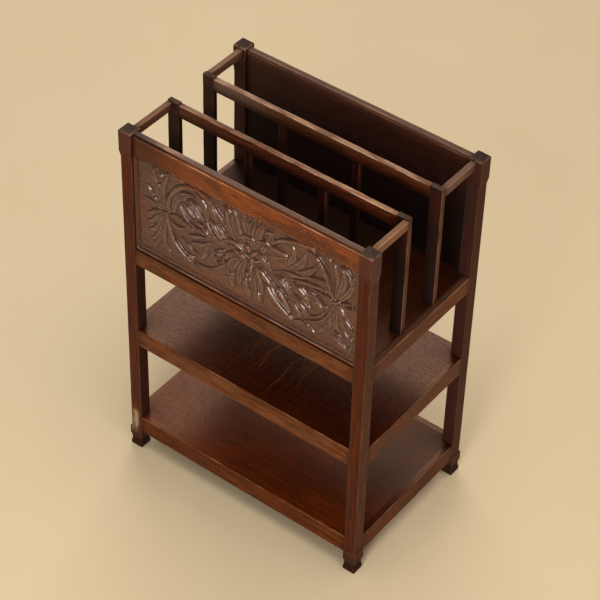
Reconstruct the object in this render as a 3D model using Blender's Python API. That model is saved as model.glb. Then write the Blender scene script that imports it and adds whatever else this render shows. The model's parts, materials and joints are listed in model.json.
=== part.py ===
# Oak magazine stand: four posts, three shelves, a carved front board,
# a plain back board and two open dividers that make three magazine pockets.
# Metres, +Z up. The origin is on the floor under the middle of the stand,
# the carved front faces -Y and the long side lies along X.

import math

import bmesh
import bpy

for old in list(bpy.data.objects):
    bpy.data.objects.remove(old, do_unlink=True)

# Driving dimensions of the whole stand
overall_width = 0.521
overall_depth = 0.331
overall_height = 0.762
fit_gap = 0.0003
cut_overrun = 0.002

# Posts: square section, a proud block at the head and at the foot, a slimmer
# shaft between them that is cut back on its two outer faces
post_side = 0.0265
post_cap_height = 0.012
post_cap_ease = 0.0018
post_head_height = 0.046
post_relief = 0.0022
post_cove_height = 0.012
post_foot_top = 0.046
post_shoulder_height = 0.004
foot_block_bottom = 0.027
foot_neck_height = 0.0175
foot_neck_inset = 0.0022
foot_plinth_height = 0.008
foot_plinth_inset = 0.0006
foot_ease = 0.001
cove_steps = 5

# Shelf levels: height of each shelf's top face and of the rails round it
bottom_shelf_top = 0.0815
bottom_rail_height = 0.0385
middle_shelf_top = 0.304
middle_rail_height = 0.0385
magazine_shelf_top = 0.496
magazine_rail_height = 0.034

# Shelf rails and boards: each board lies in a rebate along the rails
rail_thickness = 0.019
rail_setback = 0.0004
rail_top_ease = 0.001
board_thickness = 0.012
rebate_width = 0.007
tenon_thickness = 0.008
tenon_length = 0.009
tenon_foot_shoulder = 0.004

# Carved front board and plain back board, tongued into the posts. Their tops
# lie a little below the posts' blocks
panel_top_drop = 0.004
panel_thickness = 0.0165
panel_setback = 0.0055
panel_chamfer_depth = 0.003
panel_chamfer_height = 0.004
tongue_thickness = 0.008
tongue_length = 0.007
tongue_top_shoulder = 0.012
tongue_foot_shoulder = 0.006
carved_field_depth = 0.0025
carved_field_side_margin = 0.003
carved_field_top_margin = 0.038
carved_field_foot_margin = 0.002

# Dividers: two flat end posts, a top rail and two slats each. The end posts
# stand a little above the boards and above their own rail
divider_offset = 0.0465
divider_rise = 0.002
divider_rail_drop = 0.002
end_post_width = 0.024
end_post_thickness = 0.010
end_post_outer_inset = 0.0115
end_post_top_ease = 0.0015
divider_rail_height = 0.025
divider_rail_thickness = 0.010
divider_rail_chamfer = 0.002
rail_tenon_thickness = 0.005
rail_tenon_height = 0.014
rail_tenon_length = 0.008
slat_width = 0.014
slat_thickness = 0.009
slat_tenon_width = 0.008
slat_tenon_thickness = 0.005
stub_length = 0.008
end_stub_width = 0.013
end_stub_thickness = 0.005
slats_per_divider = 2

# Short end rails between the corner posts and the divider end posts, level
# with the divider rails
end_rail_width = 0.010
end_rail_height = 0.016
end_rail_ease = 0.0012
end_tenon_width = 0.005
end_tenon_height = 0.009
end_tenon_length = 0.006

# Worked out from the sizes above
half_width = overall_width / 2
half_depth = overall_depth / 2
block_top = overall_height - post_cap_height
block_bottom = block_top - post_head_height
inner_x = half_width - post_side
inner_y = half_depth - post_side
rail_face_x = half_width - post_relief - rail_setback
rail_face_y = half_depth - post_relief - rail_setback
ledge_inner = rail_thickness - rebate_width
panel_face_y = half_depth - panel_setback
panel_back_y = panel_face_y - panel_thickness
panel_foot = magazine_shelf_top + fit_gap
panel_top = block_top - panel_top_drop
end_post_outer_x = half_width - end_post_outer_inset
end_post_inner_x = end_post_outer_x - end_post_width
end_post_centre_x = (end_post_outer_x + end_post_inner_x) / 2
end_rail_centre_x = end_post_outer_x - end_rail_width / 2
divider_top = panel_top + divider_rise
divider_rail_top = divider_top - divider_rail_drop
divider_rail_foot = divider_rail_top - divider_rail_height
end_rail_top = divider_rail_top

dark_oak = (0.115, 0.040, 0.020)
warm_oak = (0.190, 0.072, 0.030)
brown_oak = (0.150, 0.058, 0.028)
worn_oak = (0.260, 0.125, 0.060)


def make_material(name, colour, roughness):
    """A plain dark polished oak colour for one piece."""
    material = bpy.data.materials.new(name)
    material.use_nodes = True
    shader = material.node_tree.nodes["Principled BSDF"]
    shader.inputs["Base Color"].default_value = (*colour, 1.0)
    shader.inputs["Roughness"].default_value = roughness
    shader.inputs["Metallic"].default_value = 0.0
    return material


def add_object(name, mesh_data, colour=None, roughness=0.42):
    """Link a bmesh to the scene as a named object with its own material."""
    bmesh.ops.recalc_face_normals(mesh_data, faces=mesh_data.faces)
    mesh = bpy.data.meshes.new(name)
    mesh_data.to_mesh(mesh)
    mesh_data.free()
    piece = bpy.data.objects.new(name, mesh)
    bpy.context.scene.collection.objects.link(piece)
    if colour is not None:
        mesh.materials.append(make_material(name + "_oak", colour, roughness))
    return piece


def add_box(mesh_data, low, high):
    """Add one closed box between two corners."""
    corners = [
        mesh_data.verts.new((x, y, z))
        for z in (low[2], high[2])
        for y in (low[1], high[1])
        for x in (low[0], high[0])
    ]
    for quad in (
        (0, 2, 3, 1),
        (4, 5, 7, 6),
        (0, 1, 5, 4),
        (2, 6, 7, 3),
        (0, 4, 6, 2),
        (1, 3, 7, 5),
    ):
        mesh_data.faces.new([corners[i] for i in quad])


def add_prism(mesh_data, outline, start, end, axis):
    """Carry a closed outline along X, Y or Z from start to end.

    The outline's points are the two coordinates across the axis, in the
    order x, y, z with the axis left out.
    """
    rings = []
    for along in (start, end):
        ring = []
        for first, second in outline:
            place = [first, second]
            place.insert(axis, along)
            ring.append(mesh_data.verts.new(place))
        rings.append(ring)
    count = len(outline)
    for i in range(count):
        j = (i + 1) % count
        mesh_data.faces.new((rings[0][i], rings[0][j], rings[1][j], rings[1][i]))
    mesh_data.faces.new(rings[0])
    mesh_data.faces.new(list(reversed(rings[1])))


def ordered_box(a, b):
    """The low and high corners of the box between two points."""
    low = tuple(min(p, q) for p, q in zip(a, b))
    high = tuple(max(p, q) for p, q in zip(a, b))
    return low, high


def box_object(name, boxes):
    """A hidden wire helper that holds one box for each pair of corners."""
    mesh_data = bmesh.new()
    for a, b in boxes:
        add_box(mesh_data, *ordered_box(a, b))
    helper = add_object(name, mesh_data)
    helper.hide_render = True
    helper.display_type = "WIRE"
    return helper


def boolean(piece, helper, operation):
    """Join a helper to a piece, or cut it out of the piece."""
    modifier = piece.modifiers.new(operation.lower(), "BOOLEAN")
    modifier.operation = operation
    modifier.object = helper
    modifier.solver = "EXACT"


def grow(a, b, clearance):
    """The box between two points, larger by the clearance on every side."""
    low, high = ordered_box(a, b)
    return (
        tuple(value - clearance for value in low),
        tuple(value + clearance for value in high),
    )


def shelf_levels():
    """Name, top height and rail height of each shelf, from the floor up."""
    return (
        ("bottom", bottom_shelf_top, bottom_rail_height),
        ("middle", middle_shelf_top, middle_rail_height),
        ("magazine", magazine_shelf_top, magazine_rail_height),
    )


def tenon_heights(top, height):
    """Lowest and highest point of a shelf rail's tenon, under the rebate."""
    return top - height + tenon_foot_shoulder, top - board_thickness


def front_tenon(top, height, side_x, side_y):
    """The tenon of a front or back rail, as two corners."""
    low, high = tenon_heights(top, height)
    centre = side_y * (rail_face_y - rail_thickness / 2)
    return (
        (side_x * (inner_x - rail_setback), centre - tenon_thickness / 2, low),
        (side_x * (inner_x + tenon_length), centre + tenon_thickness / 2, high),
    )


def side_tenon(top, height, side_x, side_y):
    """The tenon of a left or right rail, as two corners."""
    low, high = tenon_heights(top, height)
    centre = side_x * (rail_face_x - rail_thickness / 2)
    return (
        (centre - tenon_thickness / 2, side_y * (inner_y - rail_setback), low),
        (centre + tenon_thickness / 2, side_y * (inner_y + tenon_length), high),
    )


def panel_tongue(side_x, side_y):
    """The tongue along one end of the front or back board."""
    centre = side_y * (panel_face_y - panel_thickness / 2)
    return (
        (
            side_x * (inner_x - rail_setback),
            centre - tongue_thickness / 2,
            panel_foot + tongue_foot_shoulder,
        ),
        (
            side_x * (inner_x + tongue_length),
            centre + tongue_thickness / 2,
            panel_top - tongue_top_shoulder,
        ),
    )


def end_rail_tenon(side_x, shoulder_y, tip_y):
    """One tenon of a short end rail, from its shoulder to its tip."""
    middle = end_rail_top - end_rail_height / 2
    centre = side_x * end_rail_centre_x
    return (
        (centre - end_tenon_width / 2, shoulder_y, middle - end_tenon_height / 2),
        (centre + end_tenon_width / 2, tip_y, middle + end_tenon_height / 2),
    )


def post_rings():
    """Height, outer inset and inner inset of each square ring of a post.

    The outer inset is cut from the two faces that look out of the stand, the
    inner one from the two that face the rails.
    """
    rings = [
        (0.0, foot_plinth_inset + foot_ease, foot_plinth_inset + foot_ease),
        (foot_ease, foot_plinth_inset, foot_plinth_inset),
        (foot_plinth_height, foot_plinth_inset, foot_plinth_inset),
    ]
    neck_span = foot_neck_height - foot_plinth_height
    neck_depth = foot_neck_inset - foot_plinth_inset
    for step in range(1, cove_steps + 1):
        turn = step / cove_steps * math.pi / 2
        inset = foot_plinth_inset + neck_depth * math.sin(turn)
        height = foot_plinth_height + neck_span * (1 - math.cos(turn))
        rings.append((height, inset, inset))
    block_span = foot_block_bottom - foot_neck_height
    for step in range(1, cove_steps + 1):
        turn = step / cove_steps * math.pi / 2
        inset = foot_neck_inset * math.cos(turn)
        rings.append((foot_neck_height + block_span * math.sin(turn), inset, inset))
    rings.append((post_foot_top, 0.0, 0.0))
    rings.append((post_foot_top + post_shoulder_height, post_relief, 0.0))
    cove_foot = block_bottom - post_cove_height
    for step in range(cove_steps + 1):
        turn = step / cove_steps * math.pi / 2
        inset = post_relief * math.cos(turn)
        rings.append((cove_foot + post_cove_height * math.sin(turn), inset, 0.0))
    rings.append((block_top - post_cap_ease, 0.0, 0.0))
    rings.append((block_top, post_cap_ease, post_cap_ease))
    return rings


def make_post(name, side_x, side_y):
    """A corner post with its low pyramid head, mortises and board groove."""
    mesh_data = bmesh.new()
    previous = None
    for height, outer, inner in post_rings():
        xs = (side_x * (inner_x + inner), side_x * (half_width - outer))
        ys = (side_y * (inner_y + inner), side_y * (half_depth - outer))
        corners = ((xs[0], ys[0]), (xs[1], ys[0]), (xs[1], ys[1]), (xs[0], ys[1]))
        ring = [mesh_data.verts.new((x, y, height)) for x, y in corners]
        if previous is None:
            mesh_data.faces.new(ring)
        else:
            for i in range(len(ring)):
                j = (i + 1) % len(ring)
                mesh_data.faces.new((previous[i], previous[j], ring[j], ring[i]))
        previous = ring
    centre_x = side_x * (half_width - post_side / 2)
    centre_y = side_y * (half_depth - post_side / 2)
    apex = mesh_data.verts.new((centre_x, centre_y, overall_height))
    for i in range(len(previous)):
        mesh_data.faces.new((previous[i], previous[(i + 1) % len(previous)], apex))
    post = add_object(name, mesh_data, dark_oak)

    sockets = [panel_tongue(side_x, side_y)]
    for _, top, height in shelf_levels():
        sockets.append(front_tenon(top, height, side_x, side_y))
        sockets.append(side_tenon(top, height, side_x, side_y))
    sockets.append(
        end_rail_tenon(
            side_x,
            side_y * (inner_y - cut_overrun),
            side_y * (inner_y + end_tenon_length),
        )
    )
    cutters = [grow(a, b, fit_gap) for a, b in sockets]
    boolean(post, box_object(name + "_sockets", cutters), "DIFFERENCE")
    return post


def rail_outline(face, inward, top, height):
    """The section of a shelf rail: a bar with a rebate at its inner top edge.

    The first coordinate runs inward from the outer face, the second is the
    height. The outer top arris is eased.
    """
    foot = top - height
    back = face + inward * rail_thickness
    ledge = face + inward * ledge_inner
    shelf = top - board_thickness
    return (
        (face, foot),
        (back, foot),
        (back, shelf),
        (ledge, shelf),
        (ledge, top),
        (face + inward * rail_top_ease, top),
        (face, top - rail_top_ease),
    )


def make_long_rail(name, side_y, top, height, colour):
    """A front or back shelf rail with a tenon at each end."""
    mesh_data = bmesh.new()
    outline = rail_outline(side_y * rail_face_y, -side_y, top, height)
    add_prism(mesh_data, outline, fit_gap - inner_x, inner_x - fit_gap, 0)
    rail = add_object(name, mesh_data, colour)
    for side_x, end in ((-1, "left"), (1, "right")):
        a, b = front_tenon(top, height, side_x, side_y)
        root = (a[0] - side_x * cut_overrun, a[1], a[2])
        boolean(rail, box_object(f"{name}_tenon_{end}", [(root, b)]), "UNION")
    return rail


def make_side_rail(name, side_x, top, height, colour):
    """A left or right shelf rail with a tenon at each end."""
    mesh_data = bmesh.new()
    outline = rail_outline(side_x * rail_face_x, -side_x, top, height)
    add_prism(mesh_data, outline, fit_gap - inner_y, inner_y - fit_gap, 1)
    rail = add_object(name, mesh_data, colour)
    for side_y, end in ((-1, "front"), (1, "back")):
        a, b = side_tenon(top, height, side_x, side_y)
        root = (a[0], a[1] - side_y * cut_overrun, a[2])
        boolean(rail, box_object(f"{name}_tenon_{end}", [(root, b)]), "UNION")
    return rail


def divider_stubs():
    """Places of the stub tenons that stand in the magazine shelf."""
    stubs = []
    for side_y in (-1, 1):
        y = side_y * divider_offset
        for side_x in (-1, 1):
            x = side_x * end_post_centre_x
            stubs.append((x, y, end_stub_width, end_stub_thickness))
        for x in slat_places():
            stubs.append((x, y, slat_tenon_width, slat_tenon_thickness))
    return stubs


def slat_places():
    """X of each slat's middle: equal clear openings along the divider."""
    span = 2 * end_post_inner_x
    opening = (span - slats_per_divider * slat_width) / (slats_per_divider + 1)
    first = opening + slat_width / 2 - end_post_inner_x
    return [first + i * (opening + slat_width) for i in range(slats_per_divider)]


def stub_box(stub, top, bottom):
    """A stub tenon's box between two heights."""
    x, y, width, thickness = stub
    return (
        (x - width / 2, y - thickness / 2, bottom),
        (x + width / 2, y + thickness / 2, top),
    )


def make_board(name, top, colour, with_dividers):
    """A shelf board, notched round the posts, with sockets for the dividers."""
    edge_x = rail_face_x - ledge_inner - fit_gap
    edge_y = rail_face_y - ledge_inner - fit_gap
    notch_x = inner_x - fit_gap
    notch_y = inner_y - fit_gap
    outline = []
    for side_x, side_y in ((-1, -1), (1, -1), (1, 1), (-1, 1)):
        corner = [
            (side_x * edge_x, side_y * notch_y),
            (side_x * notch_x, side_y * notch_y),
            (side_x * notch_x, side_y * edge_y),
        ]
        if side_x * side_y < 0:
            corner.reverse()
        outline.extend(corner)
    mesh_data = bmesh.new()
    bottom = top - board_thickness + fit_gap
    add_prism(mesh_data, outline, bottom, top, 2)
    board = add_object(name, mesh_data, colour)
    if with_dividers:
        cutters = []
        for stub in divider_stubs():
            a, b = stub_box(stub, top + cut_overrun, top - stub_length)
            cutters.append(grow(a, b, fit_gap))
        boolean(board, box_object(name + "_sockets", cutters), "DIFFERENCE")
    return board


def make_panel(name, side_y, colour, carved):
    """The front or back board with its chamfered top and end tongues."""
    face = side_y * panel_face_y
    back = side_y * panel_back_y
    step = side_y * panel_chamfer_depth
    cheek = panel_top - panel_chamfer_height
    outline = (
        (face, panel_foot),
        (back, panel_foot),
        (back, cheek),
        (back + step, panel_top),
        (face - step, panel_top),
        (face, cheek),
    )
    mesh_data = bmesh.new()
    add_prism(mesh_data, outline, fit_gap - inner_x, inner_x - fit_gap, 0)
    panel = add_object(name, mesh_data, colour)
    for side_x, end in ((-1, "left"), (1, "right")):
        a, b = panel_tongue(side_x, side_y)
        root = (a[0] - side_x * cut_overrun, a[1], a[2])
        boolean(panel, box_object(f"{name}_tongue_{end}", [(root, b)]), "UNION")
    if carved:
        field_x = inner_x - carved_field_side_margin
        low = (-field_x, face + side_y * cut_overrun, panel_foot + carved_field_foot_margin)
        high = (field_x, face - side_y * carved_field_depth, panel_top - carved_field_top_margin)
        boolean(panel, box_object(name + "_field", [(low, high)]), "DIFFERENCE")
    return panel


def divider_rail_tenon(side_x, y):
    """The tenon of a divider rail that enters an end post."""
    middle = divider_rail_top - divider_rail_height / 2
    return (
        (
            side_x * (end_post_inner_x - fit_gap),
            y - rail_tenon_thickness / 2,
            middle - rail_tenon_height / 2,
        ),
        (
            side_x * (end_post_inner_x + rail_tenon_length),
            y + rail_tenon_thickness / 2,
            middle + rail_tenon_height / 2,
        ),
    )


def make_end_post(name, side_x, side_y, colour):
    """A flat divider end post with an eased top, a stub foot and sockets."""
    y = side_y * divider_offset
    low_x = side_x * end_post_inner_x
    high_x = side_x * end_post_outer_x
    outward = side_x * end_post_top_ease
    outline = (
        (low_x, magazine_shelf_top + fit_gap),
        (high_x, magazine_shelf_top + fit_gap),
        (high_x, divider_top - end_post_top_ease),
        (high_x - outward, divider_top),
        (low_x + outward, divider_top),
        (low_x, divider_top - end_post_top_ease),
    )
    half = end_post_thickness / 2
    mesh_data = bmesh.new()
    add_prism(mesh_data, outline, y - half, y + half, 1)
    post = add_object(name, mesh_data, colour)
    stub = (side_x * end_post_centre_x, y, end_stub_width, end_stub_thickness)
    foot = stub_box(
        stub,
        magazine_shelf_top + cut_overrun,
        magazine_shelf_top - stub_length,
    )
    boolean(post, box_object(name + "_stub", [foot]), "UNION")
    rail_socket = divider_rail_tenon(side_x, y)
    entry = (rail_socket[0][0] - side_x * cut_overrun,) + rail_socket[0][1:]
    outer_face = y + side_y * half
    end_socket = end_rail_tenon(
        side_x,
        outer_face + side_y * cut_overrun,
        outer_face - side_y * end_tenon_length,
    )
    cutters = [grow(entry, rail_socket[1], fit_gap), grow(*end_socket, fit_gap)]
    boolean(post, box_object(name + "_sockets", cutters), "DIFFERENCE")
    return post


def make_divider_rail(name, side_y, colour):
    """A divider's top rail: chamfered along its top, tenoned at both ends."""
    y = side_y * divider_offset
    half = divider_rail_thickness / 2
    cheek = divider_rail_top - divider_rail_chamfer
    flat = half - divider_rail_chamfer
    outline = (
        (y - half, divider_rail_foot),
        (y + half, divider_rail_foot),
        (y + half, cheek),
        (y + flat, divider_rail_top),
        (y - flat, divider_rail_top),
        (y - half, cheek),
    )
    end = end_post_inner_x - fit_gap
    mesh_data = bmesh.new()
    add_prism(mesh_data, outline, -end, end, 0)
    rail = add_object(name, mesh_data, colour)
    for side_x, side in ((-1, "left"), (1, "right")):
        a, b = divider_rail_tenon(side_x, y)
        root = (a[0] - side_x * cut_overrun,) + a[1:]
        boolean(rail, box_object(f"{name}_tenon_{side}", [(root, b)]), "UNION")
    cutters = []
    for x in slat_places():
        stub = (x, y, slat_tenon_width, slat_tenon_thickness)
        a, b = stub_box(
            stub,
            divider_rail_foot + stub_length,
            divider_rail_foot - cut_overrun,
        )
        cutters.append(grow(a, b, fit_gap))
    boolean(rail, box_object(name + "_sockets", cutters), "DIFFERENCE")
    return rail


def make_slat(name, x, side_y, colour):
    """An upright slat with a stub tenon at its head and foot."""
    y = side_y * divider_offset
    foot = magazine_shelf_top + fit_gap
    head = divider_rail_foot - fit_gap
    body = (
        (x - slat_width / 2, y - slat_thickness / 2, foot),
        (x + slat_width / 2, y + slat_thickness / 2, head),
    )
    mesh_data = bmesh.new()
    add_box(mesh_data, *body)
    slat = add_object(name, mesh_data, colour)
    stub = (x, y, slat_tenon_width, slat_tenon_thickness)
    tenon = stub_box(
        stub,
        divider_rail_foot + stub_length - fit_gap,
        magazine_shelf_top - stub_length + fit_gap,
    )
    boolean(slat, box_object(name + "_stubs", [tenon]), "UNION")
    return slat


def make_end_rail(name, side_x, side_y, colour):
    """A short rail from a corner post to the divider end post beside it."""
    x = side_x * end_rail_centre_x
    half = end_rail_width / 2
    foot = end_rail_top - end_rail_height
    outline = (
        (x - half, foot),
        (x + half, foot),
        (x + half, end_rail_top - end_rail_ease),
        (x + half - end_rail_ease, end_rail_top),
        (x - half + end_rail_ease, end_rail_top),
        (x - half, end_rail_top - end_rail_ease),
    )
    near = divider_offset + end_post_thickness / 2 + fit_gap
    far = inner_y - fit_gap
    mesh_data = bmesh.new()
    add_prism(mesh_data, outline, side_y * near, side_y * far, 1)
    rail = add_object(name, mesh_data, colour)
    tips = (
        ("inner", near + cut_overrun, near - fit_gap - end_tenon_length),
        ("outer", far - cut_overrun, far + fit_gap + end_tenon_length),
    )
    for end, root, tip in tips:
        tenon = end_rail_tenon(side_x, side_y * root, side_y * tip)
        boolean(rail, box_object(f"{name}_tenon_{end}", [tenon]), "UNION")
    return rail


sides_x = ((-1, "left"), (1, "right"))
sides_y = ((-1, "front"), (1, "back"))

for side_y, depth_name in sides_y:
    for side_x, width_name in sides_x:
        make_post(f"post_{depth_name}_{width_name}", side_x, side_y)

rail_colours = {"bottom": brown_oak, "middle": warm_oak, "magazine": warm_oak}
for level, top, height in shelf_levels():
    for side_y, depth_name in sides_y:
        make_long_rail(f"{level}_rail_{depth_name}", side_y, top, height, rail_colours[level])
    for side_x, width_name in sides_x:
        make_side_rail(f"{level}_rail_{width_name}", side_x, top, height, rail_colours[level])
    make_board(f"{level}_shelf_board", top, brown_oak, level == "magazine")

make_panel("carved_front_panel", -1, warm_oak, True)
make_panel("back_panel", 1, dark_oak, False)

for side_y, depth_name in sides_y:
    divider = f"{depth_name}_divider"
    for side_x, width_name in sides_x:
        make_end_post(f"{divider}_end_post_{width_name}", side_x, side_y, dark_oak)
        make_end_rail(f"{depth_name}_end_rail_{width_name}", side_x, side_y, worn_oak)
    make_divider_rail(f"{divider}_rail", side_y, worn_oak)
    for x, width_name in zip(slat_places(), ("left", "right")):
        make_slat(f"{divider}_slat_{width_name}", x, side_y, dark_oak)
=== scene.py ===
# %% [markdown]
# # A carved oak magazine stand
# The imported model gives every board, rail and post at its real size. This
# script dresses them: each plain solid is replaced by the same piece with
# softened arrises, timber figure that runs along it, and the wear that hands
# and dusters leave. The front board gets its leaf carving.

import json
import math

import bpy
import numpy as np
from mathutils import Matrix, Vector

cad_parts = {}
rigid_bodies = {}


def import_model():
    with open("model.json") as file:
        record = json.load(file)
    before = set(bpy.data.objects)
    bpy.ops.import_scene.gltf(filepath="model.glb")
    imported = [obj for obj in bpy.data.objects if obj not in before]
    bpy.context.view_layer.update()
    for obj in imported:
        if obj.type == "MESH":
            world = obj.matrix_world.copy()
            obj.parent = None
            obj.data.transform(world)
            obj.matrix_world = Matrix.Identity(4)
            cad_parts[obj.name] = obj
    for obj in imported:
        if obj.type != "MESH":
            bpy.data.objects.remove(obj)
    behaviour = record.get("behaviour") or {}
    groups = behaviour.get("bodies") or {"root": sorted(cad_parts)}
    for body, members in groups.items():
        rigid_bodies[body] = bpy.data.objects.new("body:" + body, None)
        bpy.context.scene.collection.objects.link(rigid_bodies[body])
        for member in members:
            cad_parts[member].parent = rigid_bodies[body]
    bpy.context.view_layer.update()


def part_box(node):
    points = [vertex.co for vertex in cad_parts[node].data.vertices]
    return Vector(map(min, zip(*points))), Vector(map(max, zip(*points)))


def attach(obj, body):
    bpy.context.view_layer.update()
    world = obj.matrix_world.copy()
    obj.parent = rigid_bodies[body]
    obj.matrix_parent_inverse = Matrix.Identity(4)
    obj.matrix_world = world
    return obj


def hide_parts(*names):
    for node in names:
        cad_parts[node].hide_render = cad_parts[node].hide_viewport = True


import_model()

# %% [markdown]
# ## Camera
# The stand was photographed from above, in front and to its right, with a long
# lens. The angles and the distance come from fitting a pinhole camera to the
# stand's straight edges, so that the render can be laid over the photograph.

# %% Camera at the photograph's angle
SENSOR = 36.0  # its width in mm
LENS_SHARE = 3.6242108  # the lens's length over the sensor's width

camera_data = bpy.data.cameras.new("photo_camera")
camera_data.sensor_width = SENSOR
camera_data.lens = SENSOR * LENS_SHARE
camera_data.clip_end = 60.0
camera = bpy.data.objects.new("photo_camera", camera_data)
camera.location = (1.65830638, -2.25557402, 2.98335653)
camera.rotation_euler = (0.824544505, -0.0222915594, 0.653987581)
bpy.context.scene.collection.objects.link(camera)
bpy.context.scene.camera = camera
print("lens:", round(camera_data.lens, 2), "mm")

# %% [markdown]
# ## Studio
# A plain pale floor takes the stand's soft shadow. The light is what a room
# with large windows gives: one broad source behind and to the left, which
# skims the tops and the polished shelves, one in front and to the right that
# picks out the carving, a faint warm one from a wall at the right, and a pale
# surround that fills the shadows.


# %% Colours and light
def linear(code):
    """sRGB hex to linear red, green and blue.

    Each share c becomes ((c + 0.055) / 1.055) ** 2.4 above 0.04045, else c / 12.92.
    """
    parts = np.array([int(code[i : i + 2], 16) for i in (1, 3, 5)]) / 255
    return np.where(parts <= 0.04045, parts / 12.92, ((parts + 0.055) / 1.055) ** 2.4)


def rgba(code):
    """The linear colour with full opacity, as sockets take it."""
    return (*linear(code), 1.0)


def add_node(tree, kind, inputs=None, **settings):
    """Adds a node, sets its properties, and fills or links its inputs.

    An input's value is a plain value, a node (its first output is linked), or
    (node, output name or number).
    """
    node = tree.nodes.new("ShaderNode" + kind)
    for name, value in settings.items():
        setattr(node, name, value)
    for name, value in (inputs or {}).items():
        socket = node.inputs[name]
        if isinstance(value, bpy.types.Node):
            value = (value, 0)
        if isinstance(value, tuple) and isinstance(value[0], bpy.types.Node):
            tree.links.new(value[0].outputs[value[1]], socket)
        else:
            socket.default_value = value
    return node


def lamp(name, place, target, size, power, colour):
    """A square soft light at a place, turned to face a target."""
    data = bpy.data.lights.new(name, "AREA")
    data.shape = "RECTANGLE"
    data.size, data.size_y = size
    data.energy = power
    data.color = linear(colour)
    light = bpy.data.objects.new(name, data)
    way = np.array(place) - np.array(target)
    flat = math.hypot(way[0], way[1])
    light.location = place
    light.rotation_euler = (math.atan2(flat, way[2]), 0.0, math.atan2(way[0], -way[1]))
    bpy.context.scene.collection.objects.link(light)


lamp("window_back_left", (-2.7, 3.4, 3.8), (0.0, 0.0, 0.5), (3.4, 2.8), 98.0, "#fff1e4")
lamp("ceiling", (0.8, -0.55, 4.2), (0.0, 0.0, 0.3), (3.0, 3.0), 80.0, "#fff6ea")
lamp("window_front_right", (1.05, -3.3, 1.05), (0.0, 0.0, 0.6), (0.9, 0.9), 62.0, "#fffaf4")
lamp("warm_wall_right", (3.4, 0.2, 0.9), (0.0, 0.0, 0.5), (2.0, 1.6), 12.0, "#ffab70")

world = bpy.data.worlds.new("pale_room")
bpy.context.scene.world = world
world.use_nodes = True
background = world.node_tree.nodes["Background"]
background.inputs["Color"].default_value = rgba("#fff8ee")
background.inputs["Strength"].default_value = 0.26
bpy.context.scene.view_settings.view_transform = "Standard"

# %% [markdown]
# ## Floor
# The floor is stage, not part of the stand. A faint mottle keeps it from
# looking like empty space.

# %% Pale floor
FLOOR_HALF = 6.0

floor_mesh = bpy.data.meshes.new("pale_floor")
floor_mesh.from_pydata(
    [(x * FLOOR_HALF, y * FLOOR_HALF, 0.0) for x, y in ((-1, -1), (1, -1), (1, 1), (-1, 1))],
    [],
    [(0, 1, 2, 3)],
)
floor = bpy.data.objects.new("pale_floor", floor_mesh)
bpy.context.scene.collection.objects.link(floor)

plaster = bpy.data.materials.new("matt_plaster_floor")
plaster.use_nodes = True
tree = plaster.node_tree
tree.nodes.clear()
where = add_node(tree, "TexCoord")
mottle = add_node(
    tree, "TexNoise", {"Vector": (where, "Object"), "Scale": 3.0, "Detail": 6.0, "Roughness": 0.6}
)
tone = add_node(
    tree, "Mix", {"Factor": mottle, 6: rgba("#e4d2ac"), 7: rgba("#e9d9b7")}, data_type="RGBA"
)
shader = add_node(tree, "BsdfPrincipled", {"Base Color": (tone, 2), "Roughness": 0.75})
add_node(tree, "OutputMaterial", {"Surface": shader})
floor_mesh.materials.append(plaster)
print("floor:", FLOOR_HALF * 2, "m square")

# %% [markdown]
# ## Sections and sweeps
# Nearly every piece is a length of timber with one section. A sharp modelled
# corner looks like plastic, because real arrises are sanded and then rubbed
# round by use. A Bevel modifier could round them all alike; here the section
# is worked out instead, so that the rounding can wander along the piece and
# each point knows how far it lies from the arris.


# %% Rounded sections
MM = 0.001
ARC_STEPS = 4
NEAR_MM = (0.35, 1.5, 5.0)  # how far a side's points lie from its two ends,
NEAR_SHARES = (0.05, 0.16, 0.36)  # but at most this share of the side


def rounded_section(corners, rounding):
    """Points round a polygon with softened corners, for many stations at once.

    corners is (stations, corners, 2) and rounding (stations, corners), in
    metres. A corner C becomes (1-t)^2 A + 2t(1-t) C + t^2 B, with A and B one
    rounding before and after C on its two sides. Each side then gets points
    at set distances from its ends. Returns the ring points and how far each
    lies from the middle of the nearest arris.
    """
    before = np.roll(corners, 1, axis=1) - corners
    after = np.roll(corners, -1, axis=1) - corners
    back = np.linalg.norm(before, axis=-1, keepdims=True)
    ahead = np.linalg.norm(after, axis=-1, keepdims=True)
    reach = np.minimum(rounding[..., None], 0.45 * np.minimum(back, ahead))
    a = corners + before / back * reach
    b = corners + after / ahead * reach
    t = np.linspace(0, 1, ARC_STEPS + 1)[None, None, :, None]
    curve = (1 - t) ** 2 * a[:, :, None] + 2 * t * (1 - t) * corners[:, :, None]
    curve += t**2 * b[:, :, None]
    end = np.roll(a, -1, axis=1)
    length = np.linalg.norm(end - b, axis=-1)
    near = [np.minimum(mm * MM / length, most) for mm, most in zip(NEAR_MM, NEAR_SHARES)]
    share = np.stack([*near, np.full_like(length, 0.5), *[1 - n for n in near[::-1]]], axis=-1)
    side = b[:, :, None] * (1 - share[..., None]) + end[:, :, None] * share[..., None]
    ring = np.concatenate([curve, side], axis=2)
    half_arc = 0.75 * reach
    away = np.minimum(share, 1 - share) * length[..., None] + half_arc
    around = np.abs(2 * t[..., 0] - 1) * half_arc
    away = np.concatenate([around, away], axis=2)
    return ring.reshape(len(corners), -1, 2), away.reshape(len(corners), -1)


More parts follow.
